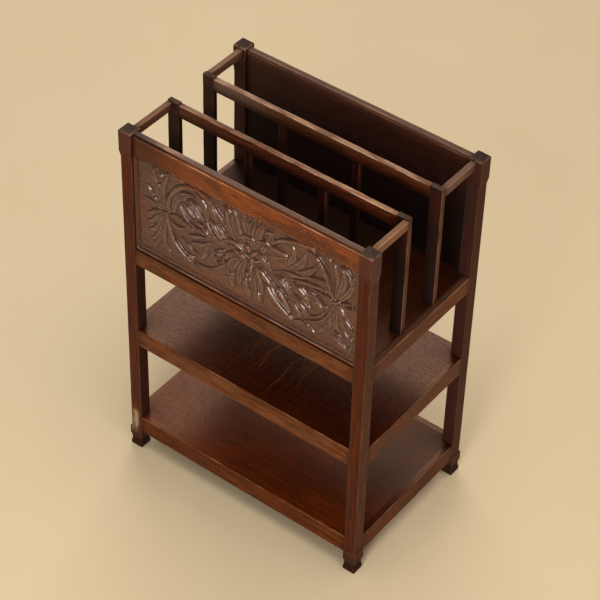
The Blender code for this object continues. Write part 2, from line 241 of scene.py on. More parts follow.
def sweep(axis, stations, ring):
    """Carries rings along X, Y or Z and closes both ends.

    The point of ring j at station i is the ring's two coordinates with the
    station put in at the axis. Quads join neighbours, and each end closes on
    the ring's mean point. Returns vertices and faces.
    """
    count, around = ring.shape[:2]
    flat = ring.reshape(-1, 2)
    place = np.repeat(stations, around)
    body = np.insert(flat, axis, place, axis=1)
    middle = np.insert(ring[[0, -1]].mean(axis=1), axis, stations[[0, -1]], axis=1)
    i, j = np.meshgrid(np.arange(count - 1), np.arange(around), indexing="ij")
    k = (j + 1) % around
    near, far = i * around, (i + 1) * around
    quads = np.stack([near + j, near + k, far + k, far + j], -1)
    one = np.arange(around)
    two = (one + 1) % around
    last = (count - 1) * around
    low = np.stack([np.full(around, count * around), two, one], -1)
    high = np.stack([np.full(around, count * around + 1), last + one, last + two], -1)
    faces = quads.reshape(-1, 4).tolist() + low.tolist() + high.tolist()
    return np.vstack([body, middle]), faces


def drift(place, seed, wave):
    """Smooth wandering from -1 to 1 along a length: the mean of four sines.

    Their waves are wave, wave / 1.7, wave / 3.1 and wave / 5.3, with seeded
    phases and falling weights.
    """
    phases = np.random.default_rng(seed).uniform(0, 2 * np.pi, 4)
    total = np.zeros_like(np.asarray(place, float))
    for phase, part, weight in zip(phases, (1.0, 1.7, 3.1, 5.3), (0.4, 0.3, 0.2, 0.1)):
        total += weight * np.sin(2 * np.pi * part * place / wave + phase)
    return total


print("section points on a square post:", 4 * (ARC_STEPS + 1 + 2 * len(NEAR_MM) + 1))

# %% [markdown]
# ## Timber
# Oak has a direction. The finish must know, at each point of a piece, where
# that point lay in the log: how far along the trunk, and how far from the pith
# on the two axes across it. Those three lengths are stored on the mesh and the
# finishes draw rings, pores and rays from them. A quarter-sawn board is cut
# towards the pith, so its face shows straight lines and bright ray flecks; a
# plain-sawn one shows arches.


# %% Where a piece lay in the log
POCKETS_X, POCKETS_Y = 0.2345, 0.1445  # half the room between the posts, and between the boards
DIVIDERS_X, DIVIDERS_Y = 0.2486, 0.1385  # half the room that holds the dividers
SHELF_TOP, SHELF_Y = 0.4975, 0.1500  # the pockets' floor, which runs on under the boards


def in_the_log(points, axis, seed):
    """Log coordinates (along, towards the pith, round the pith) in metres.

    The piece's long axis is the trunk's, and the first of its other two axes
    leads to the pith, so that the face of a shelf is quarter-sawn. A seeded
    shift takes each piece from its own place, 70 to 160 mm from the pith,
    leaning a little.
    """
    across = [a for a in range(3) if a != axis]
    middle = points.mean(axis=0)
    random = np.random.default_rng(seed)
    along = points[:, axis] + random.uniform(2, 9)
    lean = random.uniform(-0.035, 0.035, 2)
    toward = points[:, across[0]] - middle[across[0]] + random.uniform(0.07, 0.16)
    beside = points[:, across[1]] - middle[across[1]] + random.uniform(-0.02, 0.02)
    length = points[:, axis] - middle[axis]
    return np.stack([along, toward + lean[0] * length, beside + lean[1] * length], axis=1)


def smooth_step(value):
    """0 below 0, 1 above 1, and 3 v^2 - 2 v^3 between."""
    value = np.clip(value, 0, 1)
    return value * value * (3 - 2 * value)


def within(value, limit):
    """1 inside a limit, falling to 0 over the last millimetre before it."""
    return np.clip((limit - value) / MM, 0, 1)


def pocket_shade(points):
    """How much painted shade a point gets: 1 deep in the pockets, 0 outside.

    It rises from 0 at 724 mm to 1 at 654 mm, between the two boards and on all
    but the outermost faces of the dividers, above the magazine shelf's rails.
    The floor gets as much right under the boards, but less at its right end.
    """
    x, y, z = np.abs(points[:, 0]), np.abs(points[:, 1]), points[:, 2]
    floor = z < SHELF_TOP
    deep = smooth_step((0.724 - z) / 0.070) * (z > 0.4955)
    boards = within(x, POCKETS_X) * within(y, np.where(floor, SHELF_Y, POCKETS_Y))
    dividers = within(x, DIVIDERS_X) * within(y, DIVIDERS_Y)
    # the painted shade on the floor fades towards its right end
    less_shade_on_floor = 0.6 * smooth_step((points[:, 0] - 0.02) / 0.16) * floor
    return deep * np.maximum(boards, dividers) * (1 - less_shade_on_floor)


def add_piece(node, vertices, faces, facts, finish, name=None):
    """Makes a mesh piece that stands for a CAD node.

    facts holds one value, or one row of three, per vertex for each attribute
    that the finish reads. The painted shade of the pockets is added to them.
    """
    mesh = bpy.data.meshes.new(name or node + "_timber")
    mesh.from_pydata(vertices.tolist(), [], faces)
    # painted pocket shade, with any darkening the piece brings
    shade_and_darkening = np.maximum(pocket_shade(vertices), facts.get("pocket", 0.0))
    facts = {**facts, "pocket": shade_and_darkening}
    for key, values in facts.items():
        kind, field = ("FLOAT_VECTOR", "vector") if np.ndim(values) == 2 else ("FLOAT", "value")
        store = mesh.attributes.new(key, kind, "POINT")
        store.data.foreach_set(field, np.asarray(values, np.float32).ravel())
    mesh.polygons.foreach_set("use_smooth", [True] * len(mesh.polygons))
    mesh.materials.append(finish)
    mesh.update()
    piece = bpy.data.objects.new(mesh.name, mesh)
    bpy.context.scene.collection.objects.link(piece)
    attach(piece, "root")
    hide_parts(node)
    return piece


print("log coordinates of a sample point:", in_the_log(np.zeros((1, 3)), 0, 1).round(3).tolist())

# %% [markdown]
# ## Oak finishes
# All the timber is European oak, stained dark brown, then waxed or polished.
# Stain sinks deepest into the open pores, so they read as short dark dashes.
# Rays are dense and take little stain, so they stay bright. Rubbing thins the
# colour on the arrises first. The finishes below share one recipe with other
# colours and amounts.


# %% The recipe
GRAIN_MM = {
    # size of one spot along the trunk, towards the pith and round it, detail, roughness, warp
    "bend": (260, 30, 30, 2.0, 0.50, 0.0),
    "streaks": (150, 2.4, 2.4, 5.0, 0.62, 0.0),
    "fibre": (34, 1.0, 1.0, 3.0, 0.65, 0.0),
    "pores": (9, 1.0, 1.0, 3.0, 0.65, 0.0),
    "speckle": (5, 2.2, 2.2, 3.0, 0.70, 0.0),
    "patches": (120, 34, 34, 3.0, 0.60, 0.6),
    "rubbing": (55, 14, 14, 4.0, 0.65, 0.0),
    "rays": (6.5, 150, 9, 1.0, 0.50, 0.0),
}
RING_SHARE = 0.3  # how much of the light streaks the rings give
RING_PITCH = 0.0035
RING_BEND = 0.022


def oak(
    name, dark, light, worn, soil, patch, ray, dust, bloom_and_sheen="#370e09",
    patchy=0.5, wear=0.5, rough=0.42, gloss=0.3, coat=0.0,
):
    """A stained oak finish. Colours are hex codes, and the other amounts run from 0 to 1.

    Ring tone = a sine of the distance from the pith over 3.5 mm, bent by slow
    noise. Each noise in the table has spots of the sizes given there. The
    colours are then laid over one another as a polisher does: stain on the
    grain, dark pores, bright rays, a film of bloomed wax, dust on the tops,
    rubbed arrises, and dirt in the corners. Painted light goes in with them:
    the film is a grey sheen on some pieces, the rubbed colour a highlight on
    some edges and crests, and the soil colour painted shade in the pockets
    and hollows.
    """
    material = bpy.data.materials.new(name)
    material.use_nodes = True
    tree = material.node_tree
    tree.nodes.clear()
    facts = {
        key: add_node(tree, "Attribute", attribute_name=key)
        for key in ("timber", "arris", "hollow", "end_grain", "film", "top", "pocket", "rays")
    }
    timber = (facts["timber"], "Vector")

    noises = {}
    place = timber
    for key, (along, toward, beside, detail, roughness, warp) in GRAIN_MM.items():
        if key == "rays":
            # neighbouring flecks wave together, some 4 mm along the trunk
            inputs = {0: (noises["bend"], "Color"), 1: (0.02, 0.0, 0.0), 2: timber}
            place = add_node(tree, "VectorMath", inputs, operation="MULTIPLY_ADD")
        inputs = {"Vector": place, "Scale": (along * MM, toward * MM, beside * MM)}
        spot = add_node(tree, "Mapping", inputs, vector_type="TEXTURE")
        inputs = {"Vector": spot, "Scale": 1.0, "Detail": detail, "Roughness": roughness}
        noises[key] = add_node(tree, "TexNoise", {**inputs, "Distortion": warp})

    # rings: distance from the pith, bent by slow noise
    parts = add_node(tree, "SeparateXYZ", {0: timber})
    across = add_node(tree, "CombineXYZ", {"Y": (parts, "Y"), "Z": (parts, "Z")})
    distance = add_node(tree, "VectorMath", {0: across}, operation="LENGTH")
    inputs = {0: noises["bend"], 1: RING_BEND, 2: (distance, "Value")}
    bent = add_node(tree, "Math", inputs, operation="MULTIPLY_ADD")
    turns = add_node(tree, "Math", {0: bent, 1: 2 * math.pi / RING_PITCH}, operation="MULTIPLY")
    noises["rings"] = add_node(tree, "Math", {0: turns}, operation="SINE")

    # each pattern's share: its least below the first value, its most above the second
    shares = {}
    for key, low, high, least, most in (
        ("rings", -1.0, 1.0, 0.0, RING_SHARE),
        ("streaks", 0.36, 0.66, 0.0, 1.0 - RING_SHARE),
        ("fibre", 0.35, 0.65, 0.0, 0.45),
        ("patches", 0.45, 0.62, 0.0, patchy),
        ("speckle", 0.54, 0.68, 0.0, 0.6),
        ("pores", 0.54, 0.62, 0.0, 0.75),
        ("rays", 0.55, 0.66, 0.0, 0.9),
        ("rubbing", 0.38, 0.62, 0.12, wear),
    ):
        inputs = {"Value": noises[key], "From Min": low, "From Max": high}
        inputs.update({"To Min": least, "To Max": most})
        shares[key] = add_node(tree, "MapRange", inputs, interpolation_type="SMOOTHSTEP")

    # a fact's share: (the fact, how much of it shows)
    for key, fact, most in (
        ("bloom_and_sheen", "film", 0.85),
        ("dust", "top", 0.92),
        ("ends", "end_grain", 0.5),
        ("painted_shade_and_darkening", "pocket", 0.94),
        ("lit_rays", "rays", shares["rays"]),
        ("rubbed_and_highlit", "arris", shares["rubbing"]),
    ):
        inputs = {0: (facts[fact], "Fac"), 1: most}
        shares[key] = add_node(tree, "Math", inputs, operation="MULTIPLY", use_clamp=True)
    shares["grain"] = add_node(tree, "Math", {0: shares["streaks"], 1: shares["rings"]})
    # dirt and painted shade in hollows, and painted shade in the pockets, take the soil colour
    inputs = {0: (facts["hollow"], "Fac"), 1: 0.85, 2: shares["painted_shade_and_darkening"]}
    shares["dirt_and_painted_shade"] = add_node(tree, "Math", inputs, operation="MULTIPLY_ADD", use_clamp=True)

    last = rgba(dark)
    for key, code in (
        ("grain", light), ("fibre", dark), ("patches", patch), ("speckle", light),
        ("pores", soil), ("lit_rays", ray), ("bloom_and_sheen", bloom_and_sheen), ("ends", patch),
        ("dust", dust), ("rubbed_and_highlit", worn), ("dirt_and_painted_shade", soil),
    ):
        inputs = {"Factor": shares[key], 6: last, 7: rgba(code)}
        last = (add_node(tree, "Mix", inputs, data_type="RGBA"), 2)

    # surface: streaks stand up and pores sink, and end grain, dirt and painted shade are duller
    inputs = {0: shares["pores"], 1: -1.4, 2: noises["streaks"]}
    height = add_node(tree, "Math", inputs, operation="MULTIPLY_ADD")
    relief = add_node(tree, "Bump", {"Strength": 0.3, "Distance": 0.0002, "Height": height})
    dull = rough - 0.08
    for share, most in ((noises["fibre"], 0.16), (shares["ends"], 0.4), (shares["dirt_and_painted_shade"], 0.3)):
        dull = add_node(tree, "Math", {0: share, 1: most, 2: dull}, operation="MULTIPLY_ADD")
    surface = {
        "Base Color": last,
        "Roughness": dull,
        "Normal": relief,
        "IOR": 1.5,
        "Specular IOR Level": gloss,
        "Specular Tint": rgba("#ffbf94"),
        "Coat Roughness": 0.18,
        "Coat IOR": 1.48,
    }
    if coat:
        # the wax is thickest where its film is
        inputs = {0: (facts["film"], "Fac"), 1: coat, 2: 0.15}
        surface["Coat Weight"] = add_node(tree, "Math", inputs, operation="MULTIPLY_ADD")
    shader = add_node(tree, "BsdfPrincipled", surface)
    add_node(tree, "OutputMaterial", {"Surface": shader})
    return material


# %% The finishes of this stand
# Posts and upright pieces: polished, mid red brown. Its worn colour also paints highlights on the
# post eaves and the back board's upper arrises, and its dust colour a reflection on the post caps.
frame_oak = oak(
    "stained_oak_posts",
    dark="#2a0d04", light="#692a11", worn="#a08468", soil="#1c1413", patch="#36170b",
    ray="#7a3f1e", dust="#3f3633", bloom_and_sheen="#5a4a46", gloss=0.15, rough=0.45,
)
# Rails round the shelves: the same stain, more golden. Its bloom colour also paints a grey sheen on
# the magazine shelf's right rail.
rail_oak = oak(
    "stained_oak_rails",
    dark="#2e0d03", light="#803b0e", worn="#a8825c", soil="#0f0502", patch="#43200c",
    ray="#8a4a20", dust="#341409", bloom_and_sheen="#4c3a30", wear=0.85, gloss=0.15, patchy=0.6,
)
# Shelf boards: quarter-sawn, darker, with ray flecks and a higher polish.
shelf_oak = oak(
    "polished_oak_shelves",
    dark="#280a01", light="#561c03", worn="#7e4526", soil="#0a0403", patch="#2a1005",
    ray="#70381f", dust="#3a2318", wear=0.1, rough=0.25, gloss=0.5,
)
# The lowest shelf is a lighter, oranger copy of the shelf finish, which paints in the extra light
# it gets, and grey with dust at its far right.
lit_low_shelf_oak = oak(
    "polished_oak_bottom_shelf",
    dark="#431700", light="#843403", worn="#7e4526", soil="#0f0502", patch="#3c1804",
    ray="#7c3c16", dust="#332a24", wear=0.1, rough=0.29, gloss=0.45,
)
# Front board: orange brown where it is smooth. Its pale worn colour also paints highlights on the
# carving's crests and on the lip at the field's foot.
board_oak = oak(
    "waxed_oak_front_board",
    dark="#4a1902", light="#a04c0b", worn="#c8a08a", soil="#1c0703", patch="#3a1203",
    ray="#9a5020", dust="#2f1e17", wear=0.6, rough=0.36, gloss=0.38, patchy=0.8, coat=0.85,
)
# Tops that hands pass over: the stain has rubbed nearly through. Its bloom colour also paints a
# grey sheen on the short end rails.
handled_oak = oak(
    "rubbed_oak_rails",
    dark="#34140a", light="#7a3a22", worn="#c4a284", soil="#120603", patch="#42200f",
    ray="#7a3f1e", dust="#b07a4c", bloom_and_sheen="#7c6258", wear=0.9,
)
print("finishes:", [m.name for m in bpy.data.materials])

# %% [markdown]
# ## Corner posts
# Each post is one square length of oak, worked at both ends: a proud head
# block under a low pyramid, and a square foot with a hollow above its plinth.
# The shaft is cut back on its two outer faces only. Lathe or Boolean tools
# would leave hard steps; the section simply changes with the height here.

# %% Posts
POST_PROFILE_MM = (
    # height, inset of the outer faces, inset of the inner faces
    (0.0, 1.6, 1.6), (0.8, 0.7, 0.7), (7.6, 0.6, 0.6), (8.4, 0.9, 0.9), (10.5, 1.7, 1.7),
    (13.5, 2.1, 2.1), (17.5, 2.2, 2.2), (20.5, 2.0, 2.0), (23.5, 1.4, 1.4), (26.0, 0.6, 0.6),
    (27.5, 0.1, 0.1), (28.2, 0.0, 0.0), (29.6, 0.0, 0.0), (44.2, 0.0, 0.0), (45.4, 0.0, 0.0),
    (46.2, 0.2, 0.0), (49.4, 2.0, 0.0), (50.4, 2.2, 0.0), (691.2, 2.2, 0.0), (692.6, 2.1, 0.0),
    (696.0, 1.6, 0.0), (700.0, 0.8, 0.0), (703.4, 0.2, 0.0), (704.6, 0.0, 0.0),
    (706.2, 0.0, 0.0), (746.0, 0.0, 0.0), (747.6, 0.0, 0.0), (749.0, 0.5, 0.5),
    (750.0, 1.8, 1.8), (753.5, 5.2, 5.2), (757.5, 9.2, 9.2), (760.6, 12.2, 12.2),
    (761.4, 12.9, 12.9),
)
POST_STEP = 0.011
HEAD, EAVES = 0.7046, 0.7492  # where the proud head block begins, and its pyramid
# at the eaves the pale line is rubbing and a painted highlight; the foot's edges are only rubbed
EDGES = ((0.0284, 0.3), (0.0455, 0.4), (0.7488, 1.6))  # heights of the edges, how rubbed they are
ARRIS = 0.0008  # how far from its middle an arris is rubbed


def bell(distance, width):
    """exp(-(distance / width) ** 2): 1 at the middle, a third at one width and 0 far off."""
    return np.exp(-((distance / width) ** 2))


def make_post(node, seed, lowered, worn_at, dark):
    """A post: a rounded square whose insets follow the profile table up the height.

    lowered takes a little off the head of a post whose pyramid is worn down.
    worn_at is the height of a knocked patch, and dark how much painted shade
    the post gets all over.
    """
    low, high = (np.array(corner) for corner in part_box(node))
    table = np.array(POST_PROFILE_MM) * MM
    shaft, block = np.arange(0.052, 0.690, POST_STEP), np.arange(0.708, 0.745, POST_STEP)
    heights = np.unique(np.concatenate([table[:, 0], shaft, block]))
    outer = np.interp(heights, table[:, 0], table[:, 1])
    inner = np.interp(heights, table[:, 0], table[:, 2])
    head = np.clip((heights - HEAD) / (table[-1, 0] - HEAD), 0, 1)
    stations = heights - lowered * np.clip((heights - 0.700) / 0.06, 0, 1) * (0.4 + 0.6 * head)
    side_x = np.sign(low[0] + high[0])
    side_y = np.sign(low[1] + high[1])
    left = low[0] + np.where(side_x < 0, outer, inner)
    right = high[0] - np.where(side_x > 0, outer, inner)
    near = low[1] + np.where(side_y < 0, outer, inner)
    far = high[1] - np.where(side_y > 0, outer, inner)
    corners = ((left, near), (right, near), (right, far), (left, far))
    corners = np.stack([np.stack(corner, -1) for corner in corners], axis=1)
    wander = np.stack([drift(heights, seed * 7 + corner, 0.16) for corner in range(4)], axis=1)
    ring, away = rounded_section(corners, 0.0011 + 0.0005 * wander)
    vertices, faces = sweep(2, stations, ring)
    tall = np.repeat(heights, ring.shape[1])
    # hands rub the eaves of the pyramid most and its ridges hardly at all
    arris = 0.5 * bell(away.ravel(), ARRIS) * (1 - 0.8 * (tall > EAVES + 0.0003))
    edges = sum(share * bell(tall - height, 0.0009) for height, share in EDGES)
    arris = np.append(arris + edges, [0, 0.1])
    ends = np.append(np.clip((tall - EAVES) / MM, 0, 1), [0, 1])
    # the foot's hollow is darker
    hollow = np.append(0.3 * bell(tall - 0.0175, 0.005), [0, 0])
    # painted shade on the two faces turned to the inside; the feet are darker towards the floor
    turned_in = [high[0] if side_x < 0 else low[0], high[1] if side_y < 0 else low[1]]
    inside = np.exp(-np.abs(vertices[:, :2] - turned_in) / 0.0006).max(axis=1)
    inside *= np.clip((0.74 - vertices[:, 2]) / 0.03, 0, 1)
    feet = 0.75 * bell(vertices[:, 2], 0.045)
    if worn_at:
        # a knock near the foot took the colour off a patch of the front face
        place = np.array([low[0] + 0.011, low[1], worn_at])
        knock = np.exp(-((np.abs(vertices - place) / (0.008, 0.008, 0.024)) ** 4).sum(axis=1))
        arris = np.maximum(arris, 3 * knock)
        feet *= 1 - knock
    facts = {
        "timber": in_the_log(vertices, 2, seed),
        "arris": arris,
        "hollow": hollow,
        "end_grain": ends,
        # the caps' grey is dust and a painted reflection of the pale room
        "top": ends,
        "pocket": np.maximum(np.maximum(0.55 * inside, feet), dark),
        "film": np.maximum(0.25 * inside, 0.2 * (vertices[:, 2] > 0.705)),
    }
    return add_piece(node, vertices, faces, facts, frame_oak)


# node, how much the head is lowered, the knock's height, and painted shade all over (the back right
# post stands in shade)
POSTS = (
    ("post_front_left", 0.003, 0.066, 0.0),
    ("post_front_right", 0.0015, None, 0.0),
    ("post_back_left", 0.001, None, 0.0),
    ("post_back_right", 0.001, None, 0.35),
)

for seed, (node, lowered, worn_at, dark) in enumerate(POSTS, start=11):
    post = make_post(node, seed, lowered, worn_at, dark)
    print(node, len(post.data.polygons), "faces")

# %% [markdown]
# ## Straight lengths
# Rails, boards, slats and divider posts are straight. One function takes the
# polygon of the section, softens its corners and carries it along the piece.
# The softening wanders by a few tenths of a millimetre, with a few dents.


# %% A straight length of timber
LENGTH_STEP = 0.012
END_ROUND = 0.0016  # an end's softened edge runs over this length
END_SHRINK = (0.0014, 0.0003)  # and takes this much off the section, at the end and next to it


def below_top(vertices):
    """How far each point lies below the highest one."""
    return vertices[:, 2].max() - vertices[:, 2]


def make_length(
    node, axis, start, end, corners, rounding, finish, seed,
    dents=5, rubbed_and_highlit=None, extra=None, top_finish=None,
):
    """Sweeps a polygon (in metres, in the order of the two other axes) from start to end.

    rounding and rubbed have one value per corner: its softness in metres, and
    how pale it is, from rubbing and on some edges also a painted highlight.
    extra is a function that adds or changes facts, and top_finish another
    finish for the top.
    """
    count = max(4, int(round((end - start) / LENGTH_STEP)) + 1)
    inside = np.linspace(start + END_ROUND, end - END_ROUND, count)
    stations = np.concatenate([[start, start, start + 0.0002], inside, [end - 0.0002, end, end]])
    polygon = np.repeat(np.array(corners, float)[None], len(stations), axis=0)
    middle = polygon.mean(axis=1, keepdims=True)
    shrink = np.ones(len(stations))
    slim = np.ptp(np.array(corners), axis=0).min()
    for number, less in enumerate(END_SHRINK):
        shrink[[number, -1 - number]] = 1 - less / slim * 2
    polygon = middle + (polygon - middle) * shrink[:, None, None]
    wander = np.stack([drift(stations, seed * 13 + c, 0.14) for c in range(len(corners))], axis=1)
    random = np.random.default_rng(seed)
    dented = np.zeros_like(wander)
    for _ in range(dents):
        place = random.uniform(start, end)
        corner = random.integers(len(corners))
        dented[:, corner] += random.uniform(0.4, 1.2) * bell(stations - place, 0.008)
    soft = np.array(rounding)[None] * np.clip(1 + 0.4 * wander + dented, 0.4, 2.4)
    ring, away = rounded_section(polygon, soft)
    vertices, faces = sweep(axis, stations, ring)
    # each corner's wear: its own on the arc and the 3 points after it, the next one's on the last 3
    rubbed_and_highlit = np.array(rubbed_and_highlit or [1.0] * len(corners))
    shares = np.stack([rubbed_and_highlit, np.roll(rubbed_and_highlit, -1)], axis=1)
    shares = np.repeat(shares, [ARC_STEPS + 5, 3], axis=1).ravel()
    nearest = np.minimum(vertices[:, axis] - start, end - vertices[:, axis])
    facts = {
        "timber": in_the_log(vertices, axis, seed),
        "arris": np.append(bell(away, ARRIS) * shares, [0, 0]),
        "hollow": 0.7 * np.exp(-nearest / 0.0022),
    }
    if extra:
        extra(vertices, facts)
    piece = add_piece(node, vertices, faces, facts, finish)
    if top_finish:
        piece.data.materials.append(top_finish)
        drop = below_top(vertices)
        flat = [int(drop[face].max() < 0.0003) for face in faces]
        piece.data.polygons.foreach_set("material_index", flat)


def rectangle(low_a, high_a, low_b, high_b):
    """The four corners of a rectangle, anticlockwise."""
    return [(low_a, low_b), (high_a, low_b), (high_a, high_b), (low_a, high_b)]


print("straight lengths are ready")

# %% [markdown]
# ## Shelf rails
# Four rails frame each shelf. Their inner top edge is rebated, so that the
# board lies in them and only a 12 mm strip of rail shows round it. The joint
# fills with old polish and reads as a dark line.

# %% Rails
post_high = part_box("post_front_left")[1]
INNER_X, INNER_Y = -post_high[0], -post_high[1]  # half the room between the posts
FIT = 0.0003
LEDGE = 0.01225  # width of the rail's strip; old polish fills the 0.3 mm fitting gap
BOARD = 0.0120  # thickness of a shelf


def rail_corners(low, high, outward, foot, top):
    """The rebated section of a shelf rail, anticlockwise in (across, height)."""
    face, back = (low, high) if outward < 0 else (high, low)
    ledge = face - outward * LEDGE
    points = [
        (face, foot), (back, foot), (back, top - BOARD),
        (ledge, top - BOARD), (ledge, top), (face, top),
    ]
    return points if outward < 0 else points[::-1]


def rubbed_front(vertices, facts):
    """Knees rub the front face of a rail."""
    depth = vertices[:, 1] - vertices[:, 1].min()
    facts["arris"] = np.maximum(facts["arris"], 0.14 * bell(depth, 0.0005))


def darkened_top(vertices, facts):
    """A rubbed front, and the top face darkened, gone 0.8 mm below it."""
    rubbed_front(vertices, facts)
    facts["hollow"] = np.maximum(facts["hollow"], 0.6 * bell(below_top(vertices), 0.0005))


def painted_sheen_top(vertices, facts):
    """A painted grey sheen on a top face, gone 0.8 mm below it."""
    facts["film"] = 0.7 * bell(below_top(vertices), 0.0005)


def darkened_all_over(vertices, facts):
    """Darkens a whole rail a little."""
    facts["pocket"] = np.full(len(vertices), 0.15)


LEVELS = ("bottom", "middle", "magazine")
SIDES = (("front", 0, -1), ("back", 0, 1), ("left", 1, -1), ("right", 1, 1))
# the boards and the pockets keep hands off two of the magazine rails
UNTOUCHED = {"magazine_rail_front": 0.1, "magazine_rail_left": 0.2}
EXTRAS = {
    "magazine_rail_front": darkened_top,
    "magazine_rail_right": painted_sheen_top,
    "middle_rail_front": rubbed_front,
    "bottom_rail_right": darkened_all_over,
}

for level_seed, level in zip((40, 50, 60), LEVELS):
    for seed, (side, axis, outward) in enumerate(SIDES, start=level_seed):
        node = f"{level}_rail_{side}"
        low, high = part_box(node)
        across = 1 - axis
        corners = rail_corners(low[across], high[across], outward, low[2], high[2])
        softness = [0.0008, 0.0005, 0.0003, 0.0002, 0.0001, 0.0012]
        rubbed_and_highlit = [0.4, 0.0, 0.0, 0.0, 0.0, UNTOUCHED.get(node, 1.0)]
        if outward > 0:
            softness, rubbed_and_highlit = softness[::-1], rubbed_and_highlit[::-1]
        reach = (INNER_X if axis == 0 else INNER_Y) - FIT
        top = lit_low_shelf_oak if level == "bottom" and side in ("front", "left") else shelf_oak
        if level == "magazine" and node in EXTRAS:
            top = rail_oak
        make_length(
            node, axis, -reach, reach, corners, softness, rail_oak, seed,
            dents=7, rubbed_and_highlit=rubbed_and_highlit, extra=EXTRAS.get(node), top_finish=top,
        )
print("rails:", 12)

# %% [markdown]
# ## Shelf boards
# Each shelf is a thin quarter-sawn board, let into the rails and notched round
# the posts. Only its top and underside show. A flat plane would do for the
# shape, but the finish needs to know where the edge is, because polish and
# dust gather there, so the top is built of nested outlines.


# %% Boards
LONG_PARTS, SHORT_PARTS = 22, 13


def board_outline(edge, notch, inset):
    """The board's twelve corners, moved in by an inset, with points about 20 mm apart between."""
    edge_x, edge_y = edge[0] - inset, edge[1] - inset
    notch_x, notch_y = notch[0] - inset, notch[1] - inset
    corners = [
        (-notch_x, -edge_y, LONG_PARTS), (notch_x, -edge_y, 1), (notch_x, -notch_y, 1),
        (edge_x, -notch_y, SHORT_PARTS), (edge_x, notch_y, 1), (notch_x, notch_y, 1),
    ]
    # half a turn gives the other six
    corners += [(-x, -y, parts) for x, y, parts in corners]
    sides = zip(corners, corners[1:] + corners[:1])
    return np.vstack([np.linspace(a[:2], b[:2], a[2], endpoint=False) for a, b in sides])


def make_board(node, seed, finish, spots):
    """A notched board: outlines stacked up its edge, then nested across its top.

    spots gives more facts at the board's points.
    """
    low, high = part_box(node)
    edge = (high[0], high[1])
    notch = (INNER_X - FIT, INNER_Y - FIT)
    # the outlines' heights and insets: under the board, up its edge, over its top
    up = [low[2] + 0.0006, high[2] - 0.0002]
    stations = np.array([low[2]] * 3 + up + [high[2]] * 12)
    over = [0.0002, 0.0005, 0.0030, *np.linspace(0.006, 0.130, 9)]
    insets = np.array([0.0600, 0.0100, 0.0006, 0.0, 0.0, *over])
    polygon = np.array([board_outline(edge, notch, inset) for inset in insets])
    ring, _ = rounded_section(polygon, np.full(polygon.shape[:2], 0.0004))
    vertices, faces = sweep(2, stations, ring)
    # dusters never reach the corners by the posts
    short_x = np.maximum(notch[0] - np.abs(vertices[:, 0]), 0)
    short_y = np.maximum(notch[1] - np.abs(vertices[:, 1]), 0)
    facts = {
        "timber": in_the_log(vertices, 0, seed),
        "hollow": 0.7 * np.exp(-np.hypot(short_x, short_y) / 0.018),
        **spots(vertices),
    }
    return add_piece(node, vertices, faces, facts, finish)


def dusty_corner(points):
    """Dull dust at the far right, from x = 90 to 190 mm and from y = -110 to 10 mm."""
    dust = smooth_step((points[:, 0] - 0.09) / 0.10) * smooth_step((points[:, 1] + 0.11) / 0.12)
    return {"top": 0.75 * dust, "end_grain": 0.8 * dust, "rays": np.full(len(points), 0.05)}


def ray_patch(points):
    """Ray flecks round one place: exp(-((x - 20) / 65)^2 - ((y + 75) / 60)^2) in millimetres."""
    spread = ((points[:, 0] - 0.020) / 0.065) ** 2 + ((points[:, 1] + 0.075) / 0.060) ** 2
    return {"rays": 0.1 + 0.9 * np.exp(-spread)}


def few_rays(points):
    """Faint flecks all over."""
    return {"rays": np.full(len(points), 0.15)}


SHELVES = ((lit_low_shelf_oak, dusty_corner), (shelf_oak, ray_patch), (shelf_oak, few_rays))

for seed, (level, (finish, spots)) in enumerate(zip(LEVELS, SHELVES), start=80):
    board = make_board(f"{level}_shelf_board", seed, finish, spots)
    print(board.name, len(board.data.polygons), "faces")

# %% [markdown]
# ## Back board and dividers
# The back board is plain, with its top arrises planed off. Each divider is an
# open frame: two flat end posts, a top rail whose edge is rubbed pale, and two
# slats. Short rails tie the end posts to the corner posts.


# %% Back board
def board_section(node):
    """The section of the back board in (y, z), with its planed arrises, anticlockwise."""
    low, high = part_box(node)
    planed_y, planed_z = 0.003, high[2] - 0.004
    return [
        (low[1], low[2]), (high[1], low[2]), (high[1], planed_z),
        (high[1] - planed_y, high[2]), (low[1] + planed_y, high[2]), (low[1], planed_z),
    ]


def rub_top(vertices, facts):
    """Wear of hands on a top face, a quarter of an arris's, gone 2 mm below, and a grey film."""
    worn = bell(below_top(vertices), 0.0012)
    facts["arris"] = facts["arris"] + 0.25 * worn
    facts["film"] = 0.25 * (vertices[:, 1] < 0.150) + 0.6 * worn


# the back's upper arrises are rubbed pale and also carry a painted highlight
make_length(
    "back_panel", 0, FIT - INNER_X, INNER_X - FIT, board_section("back_panel"),
    [0.0008, 0.0008, 0.0012, 0.0012, 0.0012, 0.0012], frame_oak, 91,
    rubbed_and_highlit=[0.0, 0.0, 1.2, 2.4, 1.2, 0.6], extra=rub_top,
)

# %% Dividers and end rails
FLOOR_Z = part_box("magazine_shelf_board")[1][2]


def rubbed_all_along(vertices, facts):
    """Wear of hands on a top and its arrises, with painted shade down its sides.

    The back rail's left part has a grey film.
    """
    drop = below_top(vertices)
    facts["arris"] = facts["arris"] + 0.5 * bell(drop, 0.0008)
    facts["top"] = 0.10 * bell(drop, 0.012)
    # painted shade deepens down the sides towards the pockets
    facts["pocket"] = 0.6 * smooth_step((drop - 0.011) / 0.016)
    facts["film"] = 0.6 * smooth_step((-vertices[:, 0] - 0.06) / 0.12) * (vertices[:, 1] > 0)


